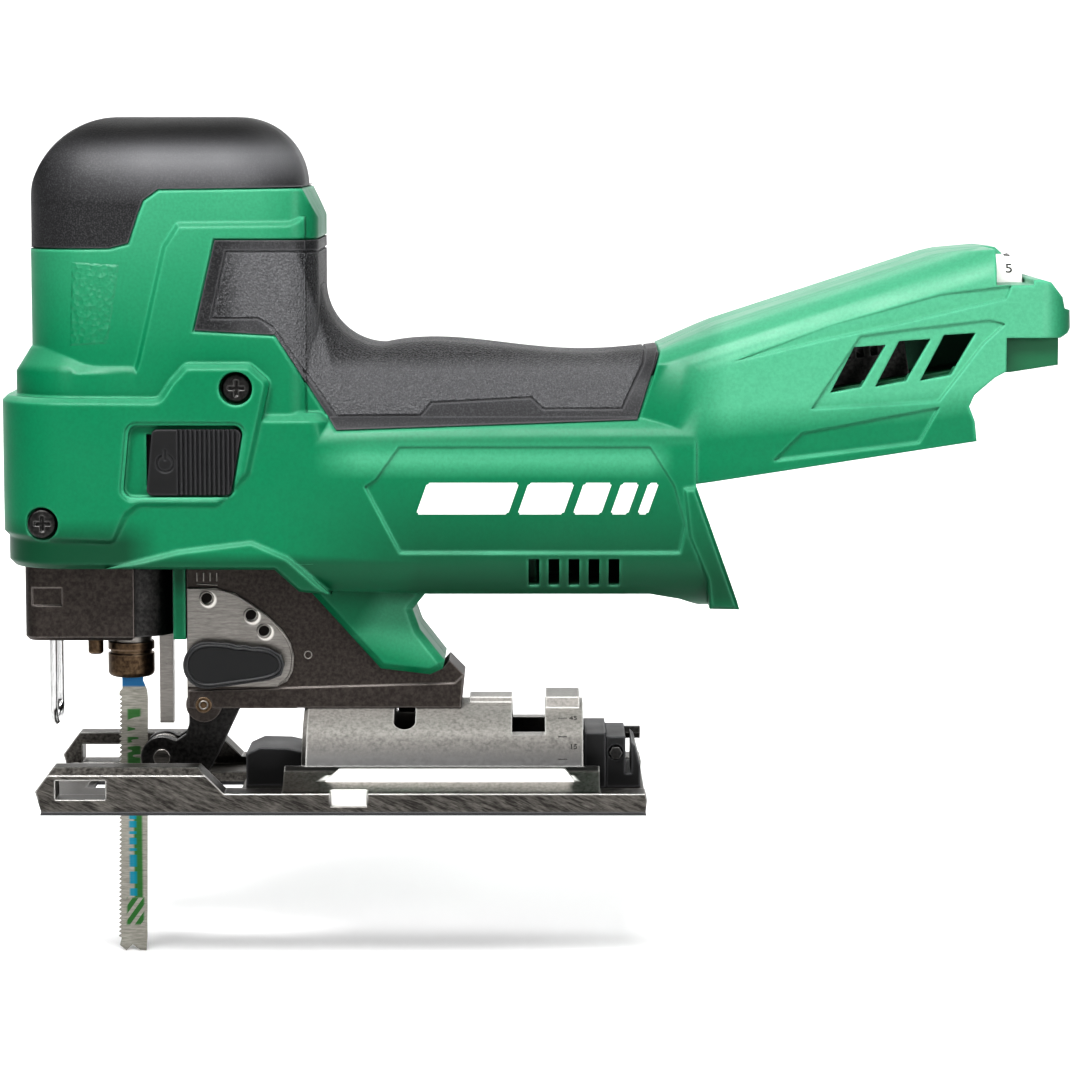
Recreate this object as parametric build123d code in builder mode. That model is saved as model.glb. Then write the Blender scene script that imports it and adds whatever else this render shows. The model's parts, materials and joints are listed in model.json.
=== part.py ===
"""Cordless barrel-grip jigsaw, modelled as separate named sub-parts.

Frame: X runs from the front of the tool to its rear, Z is up, Y = 0 is the
mid-plane.  X = 0 is the plunger axis and Z = 0 is the underside of the sole.
All lengths are in millimetres.
"""
import math
import os

from build123d import *

os.makedirs("parts", exist_ok=True)

# ---------------------------------------------------------------- dimensions
# shells
WALL = 2.8                 # moulded housing wall
SKIN = 1.6                 # soft grip thickness
HEAD_HALF = 29.0           # half width of the head
FRONT_HALF = 32.0          # half width of the gear section
MOTOR_HALF = 32.0          # half width of the motor section
TAIL_HALF = 32.0           # half width of the tail
GRIP_HALF = 27.5           # half width of the grip ridge
LEG_HALF = 15.0            # half width of the rear leg
CHEEK_RISE = 1.1           # how far the cheeks stand out from the head
BELT_RISE = 1.6            # how far the belt round the gear section stands out
HEAD_TOP = 196.5
BODY_FLOOR = 69.4
NECK_X, NECK_Z = 74.4, 149.0   # centre of the cove behind the head

# drive
MOTOR_Z = 95.0
CENTRES = 26.22            # motor axis to crank gear axis
GEAR_Z = MOTOR_Z + CENTRES
GEAR_TIP = 22.7
PINION_TIP = 3.3
CRANK = 13.0               # crank throw, half the blade stroke
GEAR_X0, GEAR_X1 = 39.0, 46.0
PLUNGER_R = 6.0
PIN_R = 3.0
CRANK_ROLLER_R = 4.9
YOKE_SLACK = 3.05

# blade and its guide
BLADE_BACK = 4.65
BLADE_FRONT = -3.5
BLADE_TIP = -46.7
BLADE_T = 1.2
HOLDER_Z0, HOLDER_Z1 = 34.8, 45.0
HOLDER_R = 6.75
ROLLER_X, ROLLER_Z = 9.2, 11.6
PIVOT_X, PIVOT_Z = 21.75, 27.5

# bracket and orbit selector
BRACKET_HALF = 9.0
LEVER_X, LEVER_Z = 23.0, 39.5
BARREL_R = 28.0            # bevel barrel of the base, centred on the X axis
BARREL_X0, BARREL_X1 = 50.7, 131.4
BOLT_X, BOLT_Y = 80.0, 6.0

# base
BASE_HALF = 37.0
SOLE_T = 1.0
SLOT_HALF = 14.0
WALL_IN = 28.0

# switch
POCKET_FLOOR = 30.6        # depth of the slider pockets, from the mid-plane
BUTTON_IN, BUTTON_OUT = 31.0, 33.2

# battery bay
BAY_ANGLE = 8.8
BAY_X, BAY_Z = 181.0, 114.0


# ------------------------------------------------------------------- helpers
def side_prism(points, half, centre=0.0, inset=0.0):
    """Solid with an XZ outline, reaching `half` either side of Y = centre."""
    with BuildPart() as solid:
        with BuildSketch(Plane.XZ.offset(-centre)):
            with BuildLine():
                Polyline(*points, close=True)
            make_face()
            if inset:
                offset(amount=-inset, kind=Kind.INTERSECTION, mode=Mode.REPLACE)
        extrude(amount=half - inset, both=True)
    return solid.part


def rounded_prism(points, radius, half, centre=0.0):
    """Solid with an XZ outline whose corners are rounded."""
    with BuildPart() as solid:
        with BuildSketch(Plane.XZ.offset(-centre)):
            with BuildLine():
                Polyline(*points, close=True)
            make_face()
            fillet(vertices(), radius=radius)
        extrude(amount=half, both=True)
    return solid.part


def box(x0, x1, y0, y1, z0, z1):
    """Plain block between the given limits."""
    with BuildPart() as solid:
        with Locations(((x0 + x1) / 2, (y0 + y1) / 2, (z0 + z1) / 2)):
            Box(x1 - x0, y1 - y0, z1 - z0)
    return solid.part


def rod_x(radius, x0, x1, y=0.0, z=0.0):
    """Cylinder along X."""
    with BuildPart() as solid:
        with BuildSketch(Plane.YZ.offset(x0)):
            with Locations((y, z)):
                Circle(radius)
        extrude(amount=x1 - x0)
    return solid.part


def rod_y(radius, y0, y1, x=0.0, z=0.0):
    """Cylinder along Y."""
    with BuildPart() as solid:
        with BuildSketch(Plane.XZ.offset(-y0)):
            with Locations((x, z)):
                Circle(radius)
        extrude(amount=-(y1 - y0))
    return solid.part


def rod_z(radius, z0, z1, x=0.0, y=0.0):
    """Cylinder along Z."""
    with BuildPart() as solid:
        with BuildSketch(Plane.XY.offset(z0)):
            with Locations((x, y)):
                Circle(radius)
        extrude(amount=z1 - z0)
    return solid.part


def ring_x(outer, inner, x0, x1, z=0.0):
    """Tube along X."""
    with BuildPart() as solid:
        with BuildSketch(Plane.YZ.offset(x0)):
            with Locations((0, z)):
                Circle(outer)
                Circle(inner, mode=Mode.SUBTRACT)
        extrude(amount=x1 - x0)
    return solid.part


def ring_z(outer, inner, z0, z1, x=0.0, y=0.0):
    """Tube along Z."""
    with BuildPart() as solid:
        with BuildSketch(Plane.XY.offset(z0)):
            with Locations((x, y)):
                Circle(outer)
                Circle(inner, mode=Mode.SUBTRACT)
        extrude(amount=z1 - z0)
    return solid.part


def section_bar(half, z0, z1, low_radius, top_radius, x0, x1, inset=0.0):
    """Bar along X with a rounded-rectangle cross-section."""
    with BuildPart() as solid:
        with BuildSketch(Plane.YZ.offset(x0)):
            with Locations((0, (z0 + z1) / 2)):
                Rectangle(2 * (half - inset), z1 - z0 - 2 * inset)
            corners = vertices().group_by(Axis.Y)
            fillet(corners[0], radius=low_radius - inset)
            corners = vertices().group_by(Axis.Y)
            fillet(corners[-1], radius=top_radius - inset)
        extrude(amount=x1 - x0)
    return solid.part


def plan_block(x0, x1, half, z0, z1, front_radius, rear_radius, inset=0.0):
    """Upright block with a rounded plan."""
    with BuildPart() as solid:
        with BuildSketch(Plane.XY.offset(z0 + inset)):
            with Locations(((x0 + x1) / 2, 0)):
                Rectangle(x1 - x0 - 2 * inset, 2 * (half - inset))
            corners = vertices().group_by(Axis.X)
            fillet(corners[0], radius=front_radius - inset)
            corners = vertices().group_by(Axis.X)
            fillet(corners[-1], radius=rear_radius - inset)
        extrude(amount=z1 - z0 - 2 * inset)
    return solid.part


def bay_plane(distance=0.0):
    """Plane along the battery slide direction, `distance` below its ceiling."""
    slope = math.radians(BAY_ANGLE)
    return Plane(
        origin=(BAY_X + distance * math.sin(slope), 0, BAY_Z - distance * math.cos(slope)),
        x_dir=(math.cos(slope), 0, math.sin(slope)),
        z_dir=(-math.sin(slope), 0, math.cos(slope)),
    )


def bay_block(u0, u1, y0, y1, depth0, depth1):
    """Block in bay coordinates: u along the slide, depth below the ceiling."""
    with BuildPart() as solid:
        with BuildSketch(bay_plane(depth1)):
            with Locations(((u0 + u1) / 2, (y0 + y1) / 2)):
                Rectangle(u1 - u0, y1 - y0)
        extrude(amount=depth1 - depth0)
    return solid.part


def save(part, name):
    """Label a finished sub-part and write it to the parts folder."""
    part.label = name
    export_step(part, f"parts/{name}.step")


# --------------------------------------------------------- outer housing form
def head_dome(inset):
    """Rounded top of the head that carries the soft cap, rounder towards the front."""
    with BuildPart() as brow:
        add(plan_block(-26.2, 90, HEAD_HALF + 12, 120, HEAD_TOP, 28, 28, inset))
        fillet(brow.faces().sort_by(Axis.Z)[-1].edges(), radius=26 - inset)
    with BuildPart() as dome:
        add(plan_block(-26.2, 52.2, HEAD_HALF, 130, HEAD_TOP, 21, 21, inset))
        fillet(dome.faces().sort_by(Axis.Z)[-1].edges(), radius=19.5 - inset)
        add(brow.part, mode=Mode.INTERSECT)
    return dome.part


def head_lower(inset):
    """Green part of the head, below the cap."""
    outline = [(-26.4, 90), (-26.4, 159.8), (3, 160.2), (7, 173), (11.5, 176.6),
               (51.9, 177.2), (56.5, 168.2), (56.5, 90)]
    with BuildPart() as head:
        add(side_prism(outline, HEAD_HALF, 0, inset))
        add(plan_block(-26.4, 56.5, HEAD_HALF, 80, 200, 21, 9, inset), mode=Mode.INTERSECT)
    return head.part


def cheek_face(side, depth, inset):
    """Side view of a cheek at some distance from the mid-plane."""
    with BuildSketch(Plane.XZ.offset(-side * depth)) as face:
        with BuildLine():
            Polyline((1.0, 96), (1.0, 120), (4.2, 129), (11.6, 161), (16.4, 168.4), (80, 169),
                     (80, 96), close=True)
        make_face()
        if inset:
            offset(amount=-inset, kind=Kind.INTERSECTION, mode=Mode.REPLACE)
    return face.sketch


def head_cheek(inset):
    """Raised cheeks of the head, sloping up from it along their front and top."""
    outer = HEAD_HALF + CHEEK_RISE - inset
    with BuildPart() as cheek:
        for side in (-1, 1):
            foot = cheek_face(side, HEAD_HALF - 1 - inset, inset)
            crown = cheek_face(side, outer, inset + 2.8)
            loft([foot, crown], ruled=True)
        add(plan_block(-20, 56.5, HEAD_HALF + CHEEK_RISE, 90, 200, 9, 9, inset),
            mode=Mode.INTERSECT)
    return cheek.part


def gear_section(inset):
    """Front lower body round the gears and plunger."""
    with BuildPart() as body:
        add(plan_block(-33, 60, FRONT_HALF, BODY_FLOOR, 113.6, 19, 6, inset))
        if not inset:
            chamfer(body.faces().sort_by(Axis.Z)[-1].edges(), length=2.4)
            chamfer(body.faces().sort_by(Axis.Z)[0].edges(), length=1.6)
    return body.part


def collar_section(inset):
    """Shoulder between the gear section and the head, drawn in towards its top."""
    with BuildPart() as body:
        add(plan_block(-30.7, 17, 30.3, 90, 124.6, 20, 14, inset))
        with BuildSketch(Plane.XY.offset(124.6 - inset)):
            with Locations((-6.85, 0)):
                Rectangle(47.7 - 2 * inset, 60.6 - 2 * inset)
            fillet(vertices().group_by(Axis.X)[0], radius=20 - inset)
            fillet(vertices().group_by(Axis.X)[-1], radius=14 - inset)
        extrude(amount=7.0, taper=32)
    return body.part


def motor_section(inset):
    """Barrel round the motor, ending in the battery stop face."""
    outline = [(34, 69.4), (44.1, 69.4), (51, 63.2), (87.8, 62), (150.2, 62), (158.7, 60.3),
               (164.4, 58), (175.7, 57.8), (163, 93.1), (163, 116), (34, 116)]
    with BuildPart() as body:
        add(side_prism(outline, MOTOR_HALF, 0, inset))
        add(section_bar(MOTOR_HALF, 57.8, 116, 15, 14, 30, 180, inset), mode=Mode.INTERSECT)
    return body.part


def ridge_face(x, top, inset):
    """Cross-section of the grip ridge at a place along the barrel."""
    foot = 99.6
    with BuildSketch(Plane.YZ.offset(x)) as section:
        with Locations((0, (foot + top) / 2)):
            Rectangle(2 * (GRIP_HALF - inset), top - foot - 2 * inset)
        fillet(vertices().group_by(Axis.Y)[-1], radius=17 - inset)
    return section.sketch


def grip_section(inset):
    """Rounded ridge that is gripped in the hand, curving up into the head."""
    foot = ridge_face(NECK_X, 131.6, inset)
    swell = [(86, 133.0), (105, 131.8), (125, 129.8), (143, 130.2), (163 - inset, 132)]
    neck_axis = Axis((NECK_X, 0, NECK_Z), (0, 1, 0))
    with BuildPart() as body:
        loft([foot] + [ridge_face(x, top, inset) for x, top in swell])
        revolve(foot, axis=neck_axis, revolution_arc=90)
    return body.part


def tail_taper(side, inset):
    """Wedge that narrows the front of the tail towards the grip."""
    near = side * (GRIP_HALF + 0.4 - inset)
    far = side * (TAIL_HALF + 0.2 - inset)
    with BuildPart() as wedge:
        with BuildSketch(Plane.XY.offset(60)):
            with BuildLine():
                Polyline((130, near), (148, near), (168, far), (168, side * 50), (130, side * 50),
                         close=True)
            make_face()
        extrude(amount=120)
    return wedge.part


def tail_section(inset):
    """Rear arm over the battery bay."""
    outline = [(147.2, 94), (147.2, 112), (152.2, 130.4), (165.2, 136.4), (182.5, 144.1),
               (199.7, 150.3), (217, 155.4), (234.2, 158.6), (246.5, 159.5), (251.5, 158.9),
               (253.4, 157.2), (253.8, 150.8), (259.5, 151.2), (262.2, 150.4), (265.7, 146.1),
               (266.4, 143.0), (268.2, 142.4), (268.7, 137.6), (267.5, 136.0), (265.2, 134.8),
               (265.2, 125.9), (250.2, 125.6), (246.6, 123.6), (241.0, 118.8), (239.6, 115.6),
               (241.2, 111.4), (241.8, 105.8), (163, 93.6)]
    slope = math.radians(18)
    rear = Plane(origin=(130, 0, 117), x_dir=(0, 1, 0),
                 z_dir=(math.cos(slope), 0, math.sin(slope)))
    with BuildPart() as body:
        with BuildSketch(rear):
            with Locations((0, -22)):
                Rectangle(2 * (TAIL_HALF - inset), 60 - 2 * inset)
            fillet(vertices().group_by(Axis.Y)[-1], radius=14 - inset)
        extrude(amount=170)
        with BuildSketch(Plane.XY.offset(60)):
            with Locations((192.3, 0)):
                Rectangle(152.8 - 2 * inset, 2 * (TAIL_HALF - inset))
            fillet(vertices().group_by(Axis.X)[-1], radius=9 - inset)
        extrude(amount=120, mode=Mode.INTERSECT)
        add(side_prism(outline, TAIL_HALF, 0, inset), mode=Mode.INTERSECT)
        for side in (-1, 1):
            add(tail_taper(side, inset), mode=Mode.SUBTRACT)
    return body.part


def leg_section(inset):
    """Leg that wraps the rear of the cast bracket."""
    outline = [(38, 80), (44.1, 69.4), (51, 63.2), (73.2, 38.6), (87.4, 36.9), (91, 38.6),
               (91.6, 40.9), (84.5, 50), (82.4, 55.9), (89, 64), (89, 80)]
    with BuildPart() as body:
        add(side_prism(outline, LEG_HALF, 0, inset))
        if not inset:
            chamfer(body.faces().group_by(Axis.Y)[0].edges(), length=2.0)
            chamfer(body.faces().group_by(Axis.Y)[-1].edges(), length=2.0)
    return body.part


def housing_form(inset):
    """Whole outer form of the moulded body, moved inward by `inset`."""
    pieces = [head_dome, head_lower, head_cheek, gear_section, collar_section,
              motor_section, grip_section, tail_section, leg_section]
    shapes = [piece(inset) for piece in pieces]
    with BuildPart() as form:
        for shape in shapes:
            add(shape)
    return form.part


def switch_belt():
    """Raised bevelled belt round the gear section, for the switch and the screws."""
    outline = [(-40, 118), (11.7, 117.7), (15.1, 122.8), (19.4, 127.5), (37.6, 127.5),
               (43.2, 122.5), (41.5, 114.6), (37.4, 96.3), (28.5, 87.2), (6.3, 87.2),
               (2.9, 84.7), (-0.8, 76.5), (-40, 77.9)]
    plan = plan_block(-34.4, 60, FRONT_HALF + BELT_RISE, 60, 140, 20.6, 6)
    sides = rounded_prism(outline, 2.6, 50)
    with BuildPart() as belt:
        add(plan)
        add(sides, mode=Mode.INTERSECT)
        rims = new_edges(plan, sides, combined=belt.part)
        chamfer(rims, length=1.5)
    return belt.part


def lower_rim():
    """Bevelled rim along the lower edge of the housing, round the cast bracket."""
    outline = [(-4, 69.6), (17.1, 74.9), (37.7, 77.5), (48, 73), (60, 62.2), (51, 63.2),
               (44.1, 69.4)]
    with BuildPart() as rim:
        add(side_prism(outline, FRONT_HALF + 1.0))
        chamfer(rim.faces().sort_by(Axis.Y)[0].edges(), length=0.9)
        chamfer(rim.faces().sort_by(Axis.Y)[-1].edges(), length=0.9)
    return rim.part


def pillar_pads():
    """Raised pads on the pillar in front of the battery."""
    outline = [(159.4, 92.6), (163.0, 92.9), (175.4, 58.1), (166.9, 58.3), (166.2, 66.5),
               (161.0, 78.7)]
    with BuildPart() as pads:
        add(side_prism(outline, MOTOR_HALF + 1.0))
        chamfer(pads.faces().sort_by(Axis.Y)[0].edges(), length=0.9)
        chamfer(pads.faces().sort_by(Axis.Y)[-1].edges(), length=0.9)
    return pads.part


OUTER = housing_form(0.0)
GROOVE_FLOOR = housing_form(0.5)
UNDER_SKIN = housing_form(SKIN)
INNER = housing_form(WALL)
BELT = switch_belt()
RIM = lower_rim()
PADS = pillar_pads()

CAP_OUTLINE = [(-40, 159.7), (-1.9, 159.9), (3.4, 161.3), (6, 169.1), (7.7, 173.3),
               (12, 176.4), (23.7, 176.5), (70, 177.3), (70, 210), (-40, 210)]
GRIP_OUTLINE = [(27.8, 162.1), (21.9, 136.9), (44.6, 135.6), (61.6, 108.8), (146.4, 111.6),
                (152.4, 130), (153, 150), (64, 150), (64, 162.1)]
WEB_OUTLINE = [(17, 72.5), (17, 26.5), (96.2, 26.5), (97.2, 36), (92.8, 40.5), (90.8, 38.2),
               (87.4, 36.6), (74, 38.3), (80, 55), (62, 72.5)]
GRIP_ZONE = [(31, 158.9), (26.8, 140.3), (39.8, 140.3), (43.7, 138), (61.6, 112.6),
             (85.2, 112.7), (88.3, 116.4), (116.5, 117.8), (119.8, 114.6), (142.1, 114.7),
             (148.3, 127.3), (149.1, 131.6), (149.1, 170), (110, 170), (80, 158.9)]
PANEL_OUTLINE = [(69.7, 92.9), (79.5, 74.2), (158.5, 74.2), (160, 82), (157, 93), (150, 104.2),
                 (79.3, 104.2), (72.6, 94.8)]
TAIL_PANEL = [(195.2, 114.9), (231, 117.0), (243.5, 133.4), (249.4, 138.8), (244.9, 139.9),
              (219.6, 136.9), (208.8, 135.4)]
TAIL_FIELD = [(184.7, 100.3), (225.6, 105.4), (231.2, 115.4), (192.6, 108.1)]
TAIL_VALLEY = [(173.3, 128.2), (195.8, 133.6), (219.7, 138.9), (249.6, 145.9), (251, 149.5),
               (231.6, 147.1), (200.3, 138.2)]

CAP_REGION = side_prism(CAP_OUTLINE, 40)
GRIP_REGION = side_prism(GRIP_OUTLINE, 40)


# ----------------------------------------------------------- housing and skins
def stator_rib(x0):
    """Upright rib that cradles the motor."""
    with BuildPart() as rib:
        add(box(x0, x0 + 4, -30, 30, 58, 128))
        add(rod_x(23.0, x0 - 1, x0 + 5, 0, MOTOR_Z), mode=Mode.SUBTRACT)
    return rib.part


def bearing_rib():
    """Rib that carries the rear motor bearing."""
    with BuildPart() as rib:
        add(box(142, 148, -30, 30, 58, 128))
        add(rod_x(8.0, 141, 149, 0, MOTOR_Z), mode=Mode.SUBTRACT)
    return rib.part


def vent_slots():
    """Upright slots in both flanks below the motor."""
    with BuildPart() as slots:
        for i in range(5):
            for side in (-1, 1):
                with Locations((117.3 + 5.65 * i, side * 32, 68.6)):
                    Box(3.0, 20, 7.6)
    return slots.part


def tail_vents():
    """Slanted openings in both flanks of the tail."""
    shapes = []
    for i in range(3):
        x = 200.6 + 12.6 * i
        z = 119.4 + 1.7 * i
        outline = [(x, z), (x + 8.6, z + 1.6), (x + 15.4, z + 13.4), (x + 6.6, z + 12.8)]
        for side in (-1, 1):
            shapes.append(side_prism(outline, 10, side * 30))
    with BuildPart() as slots:
        for shape in shapes:
            add(shape)
    return slots.part


def middle_ribs():
    """Ribs along the mid-plane, behind the vents of the motor and of the tail."""
    with BuildPart() as ribs:
        add(box(112, 147, -1, 1, 57, 71.8))
        add(side_prism([(224.8, 117.5), (249, 117.5), (249, 134), (234.8, 137.8), (234.8, 150),
                        (200, 141), (200, 132.5), (222.2, 135.1), (223.4, 134.4),
                        (224.7, 124)], 0.9))
        add(box(244.7, 253.8, -32, 32, 140, 160))
    return ribs.part


def flank_panels():
    """Shallow recesses pressed into both flanks."""
    shapes = []
    for side in (-1, 1):
        shapes.append(side_prism(PANEL_OUTLINE, 1.0, side * (MOTOR_HALF + 0.2)))
        shapes.append(side_prism(TAIL_PANEL, 1.0, side * (TAIL_HALF + 0.2)))
        shapes.append(side_prism(TAIL_FIELD, 1.0, side * (TAIL_HALF + 0.2)))
        shapes.append(side_prism(TAIL_VALLEY, 1.0, side * (TAIL_HALF + 0.2)))
    with BuildPart() as panels:
        for shape in shapes:
            add(shape)
    return panels.part


def switch_windows():
    """Pockets for the switch sliders in both flanks, with a slot for each stem."""
    pocket = [(3.6, 110.3), (1.6, 90.0), (32.5, 90.0), (35.9, 110.3)]
    mouth = [(2.6, 111.3), (0.5, 89.0), (33.2, 89.0), (36.9, 111.3)]
    with BuildPart() as windows:
        for side in (-1, 1):
            add(rounded_prism(pocket, 2.6, 3, side * (POCKET_FLOOR + 3)))
            add(rounded_prism(mouth, 3.4, 1, side * (FRONT_HALF + BELT_RISE + 0.5)))
            add(box(8.2, 32.0, side * 30 - 5, side * 30 + 5, 92.4, 107.6))
    return windows.part


def outline_gap(outline):
    """Shallow gap that runs just outside a skin's outline."""
    with BuildPart() as gap:
        add(side_prism(outline, 40, 0, -0.5))
        add(side_prism(outline, 42), mode=Mode.SUBTRACT)
        add(GROOVE_FLOOR, mode=Mode.SUBTRACT)
    return gap.part


def seam_gap():
    """Fine seam between the two housing halves."""
    with BuildPart() as gap:
        add(box(-60, 300, -0.25, 0.25, 0, 250))
        add(GROOVE_FLOOR, mode=Mode.SUBTRACT)
    return gap.part


def grip_groove():
    """Narrow groove that borders the pebbled field of the grip skin."""
    with BuildPart() as groove:
        add(side_prism(GRIP_ZONE, 40, 0, -0.35))
        add(side_prism(GRIP_ZONE, 42, 0, 0.35), mode=Mode.SUBTRACT)
        add(GROOVE_FLOOR, mode=Mode.SUBTRACT)
    return groove.part


def battery_bay():
    """Open channel for the battery, with its dial pocket and end step."""
    with BuildPart() as bay:
        add(bay_block(-16.5, 95, -25.5, 25.5, -3.0, 40))
        add(box(249.9, 275, -40, 40, 115, 134.8))
        add(box(246.9, 257.3, -11.6, 11.6, 134.8, 170))
        add(box(246.9, 257.3, -40, 12.2, 149.6, 170))
        add(rod_x(2.3, 244, 259, 0, 146.3))
    return bay.part


def bay_solids():
    """Skirts, slide rails and front wall of the battery bay."""
    with BuildPart() as solids:
        for side in (-1, 1):
            y0, y1 = sorted((side * 25.5, side * 32))
            add(bay_block(-20, 66, y0, y1, -4.0, 24))
        add(box(160.4, 163.2, -30, 30, 88, 114))
    return solids.part


def bay_rails():
    """Two ribs that carry the battery."""
    with BuildPart() as rails:
        for side in (-1, 1):
            y0, y1 = sorted((side * 22.0, side * 25.6))
            add(bay_block(-15, 57, y0, y1, 8.5, 12.0))
    return rails.part


def screw_bosses():
    """Bosses round the two case screws."""
    with BuildPart() as bosses:
        add(rod_y(4.4, -31, 31, -21.4, 82.4))
        add(rod_y(5.2, -28.5, -26.2, 33.6, 120.7))
    return bosses.part


RIBS = [stator_rib(80), stator_rib(114), bearing_rib(), middle_ribs()]
VENTS = vent_slots()
TAIL_VENTS = tail_vents()
PANELS = flank_panels()
WINDOWS = switch_windows()
BAY = battery_bay()
BAY_SOLIDS = bay_solids()
BAY_RAILS = bay_rails()
GRIP_GROOVE = grip_groove()
CAP_GAP = outline_gap(CAP_OUTLINE)
GRIP_GAP = outline_gap(GRIP_OUTLINE)
SEAM = seam_gap()
BOSSES = screw_bosses()
WEB_CLEARANCE = side_prism(WEB_OUTLINE, BRACKET_HALF + 0.15)
SPINDLE_HOLE = rod_z(13.1, 66, 73)
FINGER = box(13.2, 16.8, -9.8, 9.8, 46.6, 71.5)
SCREW_CUTS = [rod_y(4.7, -40, -29.4, -21.4, 82.4), rod_y(4.7, -40, -29.4, 33.6, 120.7),
              rod_y(2.0, -40, 22, -21.4, 82.4), rod_y(2.0, -40, -20, 33.6, 120.7)]
NEAR_HALF = box(-60, 300, -60, 0, 0, 250)
FAR_HALF = box(-60, 300, 0, 60, 0, 250)

with BuildPart() as ribs_inside:
    for rib in RIBS:
        add(rib)
    add(BOSSES)
    add(OUTER, mode=Mode.INTERSECT)

with BuildPart() as bay_inside:
    add(BAY_SOLIDS)
    add(OUTER, mode=Mode.INTERSECT)

with BuildPart() as grip_mask:
    add(GRIP_REGION)
    add(UNDER_SKIN, mode=Mode.SUBTRACT)

with BuildPart() as shell:
    add(OUTER)
    add(BELT)
    add(RIM)
    add(PADS)
    add(INNER, mode=Mode.SUBTRACT)
    add(ribs_inside.part)
    add(bay_inside.part)
    add(BAY, mode=Mode.SUBTRACT)
    add(BAY_RAILS)
    add(FINGER)
    add(CAP_REGION, mode=Mode.SUBTRACT)
    add(grip_mask.part, mode=Mode.SUBTRACT)
    add(PANELS, mode=Mode.SUBTRACT)
    add(WINDOWS, mode=Mode.SUBTRACT)
    add(VENTS, mode=Mode.SUBTRACT)
    add(TAIL_VENTS, mode=Mode.SUBTRACT)
    add(WEB_CLEARANCE, mode=Mode.SUBTRACT)
    add(SPINDLE_HOLE, mode=Mode.SUBTRACT)
    add(CAP_GAP, mode=Mode.SUBTRACT)
    add(GRIP_GAP, mode=Mode.SUBTRACT)
    add(SEAM, mode=Mode.SUBTRACT)
    for cut in SCREW_CUTS:
        add(cut, mode=Mode.SUBTRACT)

with BuildPart() as housing_left:
    add(shell.part)
    add(NEAR_HALF, mode=Mode.INTERSECT)
save(housing_left.part, "housing_left")

with BuildPart() as housing_right:
    add(shell.part)
    add(FAR_HALF, mode=Mode.INTERSECT)
save(housing_right.part, "housing_right")

with BuildPart() as top_cap:
    add(OUTER)
    add(CAP_REGION, mode=Mode.INTERSECT)
    add(INNER, mode=Mode.SUBTRACT)
save(top_cap.part, "top_cap")

with BuildPart() as grip_left:
    add(OUTER)
    add(GRIP_REGION, mode=Mode.INTERSECT)
    add(UNDER_SKIN, mode=Mode.SUBTRACT)
    add(GRIP_GROOVE, mode=Mode.SUBTRACT)
    add(SEAM, mode=Mode.SUBTRACT)
    add(NEAR_HALF, mode=Mode.INTERSECT)
save(grip_left.part, "grip_left")

with BuildPart() as grip_right:
    add(OUTER)
    add(GRIP_REGION, mode=Mode.INTERSECT)
    add(UNDER_SKIN, mode=Mode.SUBTRACT)
    add(GRIP_GROOVE, mode=Mode.SUBTRACT)
    add(SEAM, mode=Mode.SUBTRACT)
    add(FAR_HALF, mode=Mode.INTERSECT)
save(grip_right.part, "grip_right")


# ------------------------------------------------------------- case fasteners
def cross_screw(head_y, x, z, shank_end):
    """Pan-head screw driven in from the near side."""
    with BuildPart() as screw:
        add(rod_y(4.2, head_y, head_y + 2.2, x, z))
        fillet(screw.faces().sort_by(Axis.Y)[0].edges(), radius=0.9)
        add(rod_y(1.95, head_y + 2.2, shank_end, x, z))
        with Locations((x, head_y + 0.6, z)):
            Box(4.6, 1.4, 1.1, mode=Mode.SUBTRACT)
            Box(1.1, 1.4, 4.6, mode=Mode.SUBTRACT)
    return screw.part


SCREWS = [cross_screw(-31.6, -21.4, 82.4, 21.5), cross_screw(-31.6, 33.6, 120.7, -20.5)]

with BuildPart() as case_screws:
    for screw in SCREWS:
        add(screw)
save(case_screws.part, "case_screws")


# ----------------------------------------------------------------- gear frame
SADDLE = rod_x(BARREL_R + 0.3, BARREL_X0 - 2, 110)
WEB = side_prism(WEB_OUTLINE, BRACKET_HALF)
LOBE = rod_y(5.2, -BRACKET_HALF, BRACKET_HALF, PIVOT_X, PIVOT_Z)
LIP = side_prism([(17.4, 26.5), (17.4, 31.6), (94.4, 33.8), (96.7, 36.0), (96.1, 26.5)],
                 BRACKET_HALF + 0.6)

with BuildPart() as gear_frame:
    add(WEB)
    add(LOBE)
    add(LIP)
    add(box(74, 86, 4, 12.4, 30.5, 36.0))
    add(box(-13.5, 52, -13.5, 13.5, 72.5, 80))
    add(box(47, 52, -22, 22, 72.5, 144))
    add(box(47, 52, -13, 13, 140, 156))
    add(box(-10, 52, -13, 13, 148, 156))
    add(box(28.5, 49, -25.9, -24.2, 113, 128))
    add(box(46.6, 49, -25.9, -20, 113, 128))
    add(rod_y(4.2, -24.4, -19.0, 33.6, 120.7))
    add(SADDLE, mode=Mode.SUBTRACT)
    add(box(15, 34, -6.7, 6.7, 20, 34), mode=Mode.SUBTRACT)
    add(rod_y(2.35, -12, 12, PIVOT_X, PIVOT_Z), mode=Mode.SUBTRACT)
    add(rod_y(3.05, -12, 12, LEVER_X, LEVER_Z), mode=Mode.SUBTRACT)
    add(rod_z(2.52, 20, 36.5, BOLT_X, BOLT_Y), mode=Mode.SUBTRACT)
    add(rod_z(9.0, 70, 82), mode=Mode.SUBTRACT)
    add(rod_z(9.0, 146, 158), mode=Mode.SUBTRACT)
    add(rod_x(8.0, 46, 53, 0, MOTOR_Z), mode=Mode.SUBTRACT)
    add(rod_x(5.0, 46, 53, 0, GEAR_Z), mode=Mode.SUBTRACT)
    add(rod_y(2.0, -28, -18, 33.6, 120.7), mode=Mode.SUBTRACT)
save(gear_frame.part, "gear_frame")

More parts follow.
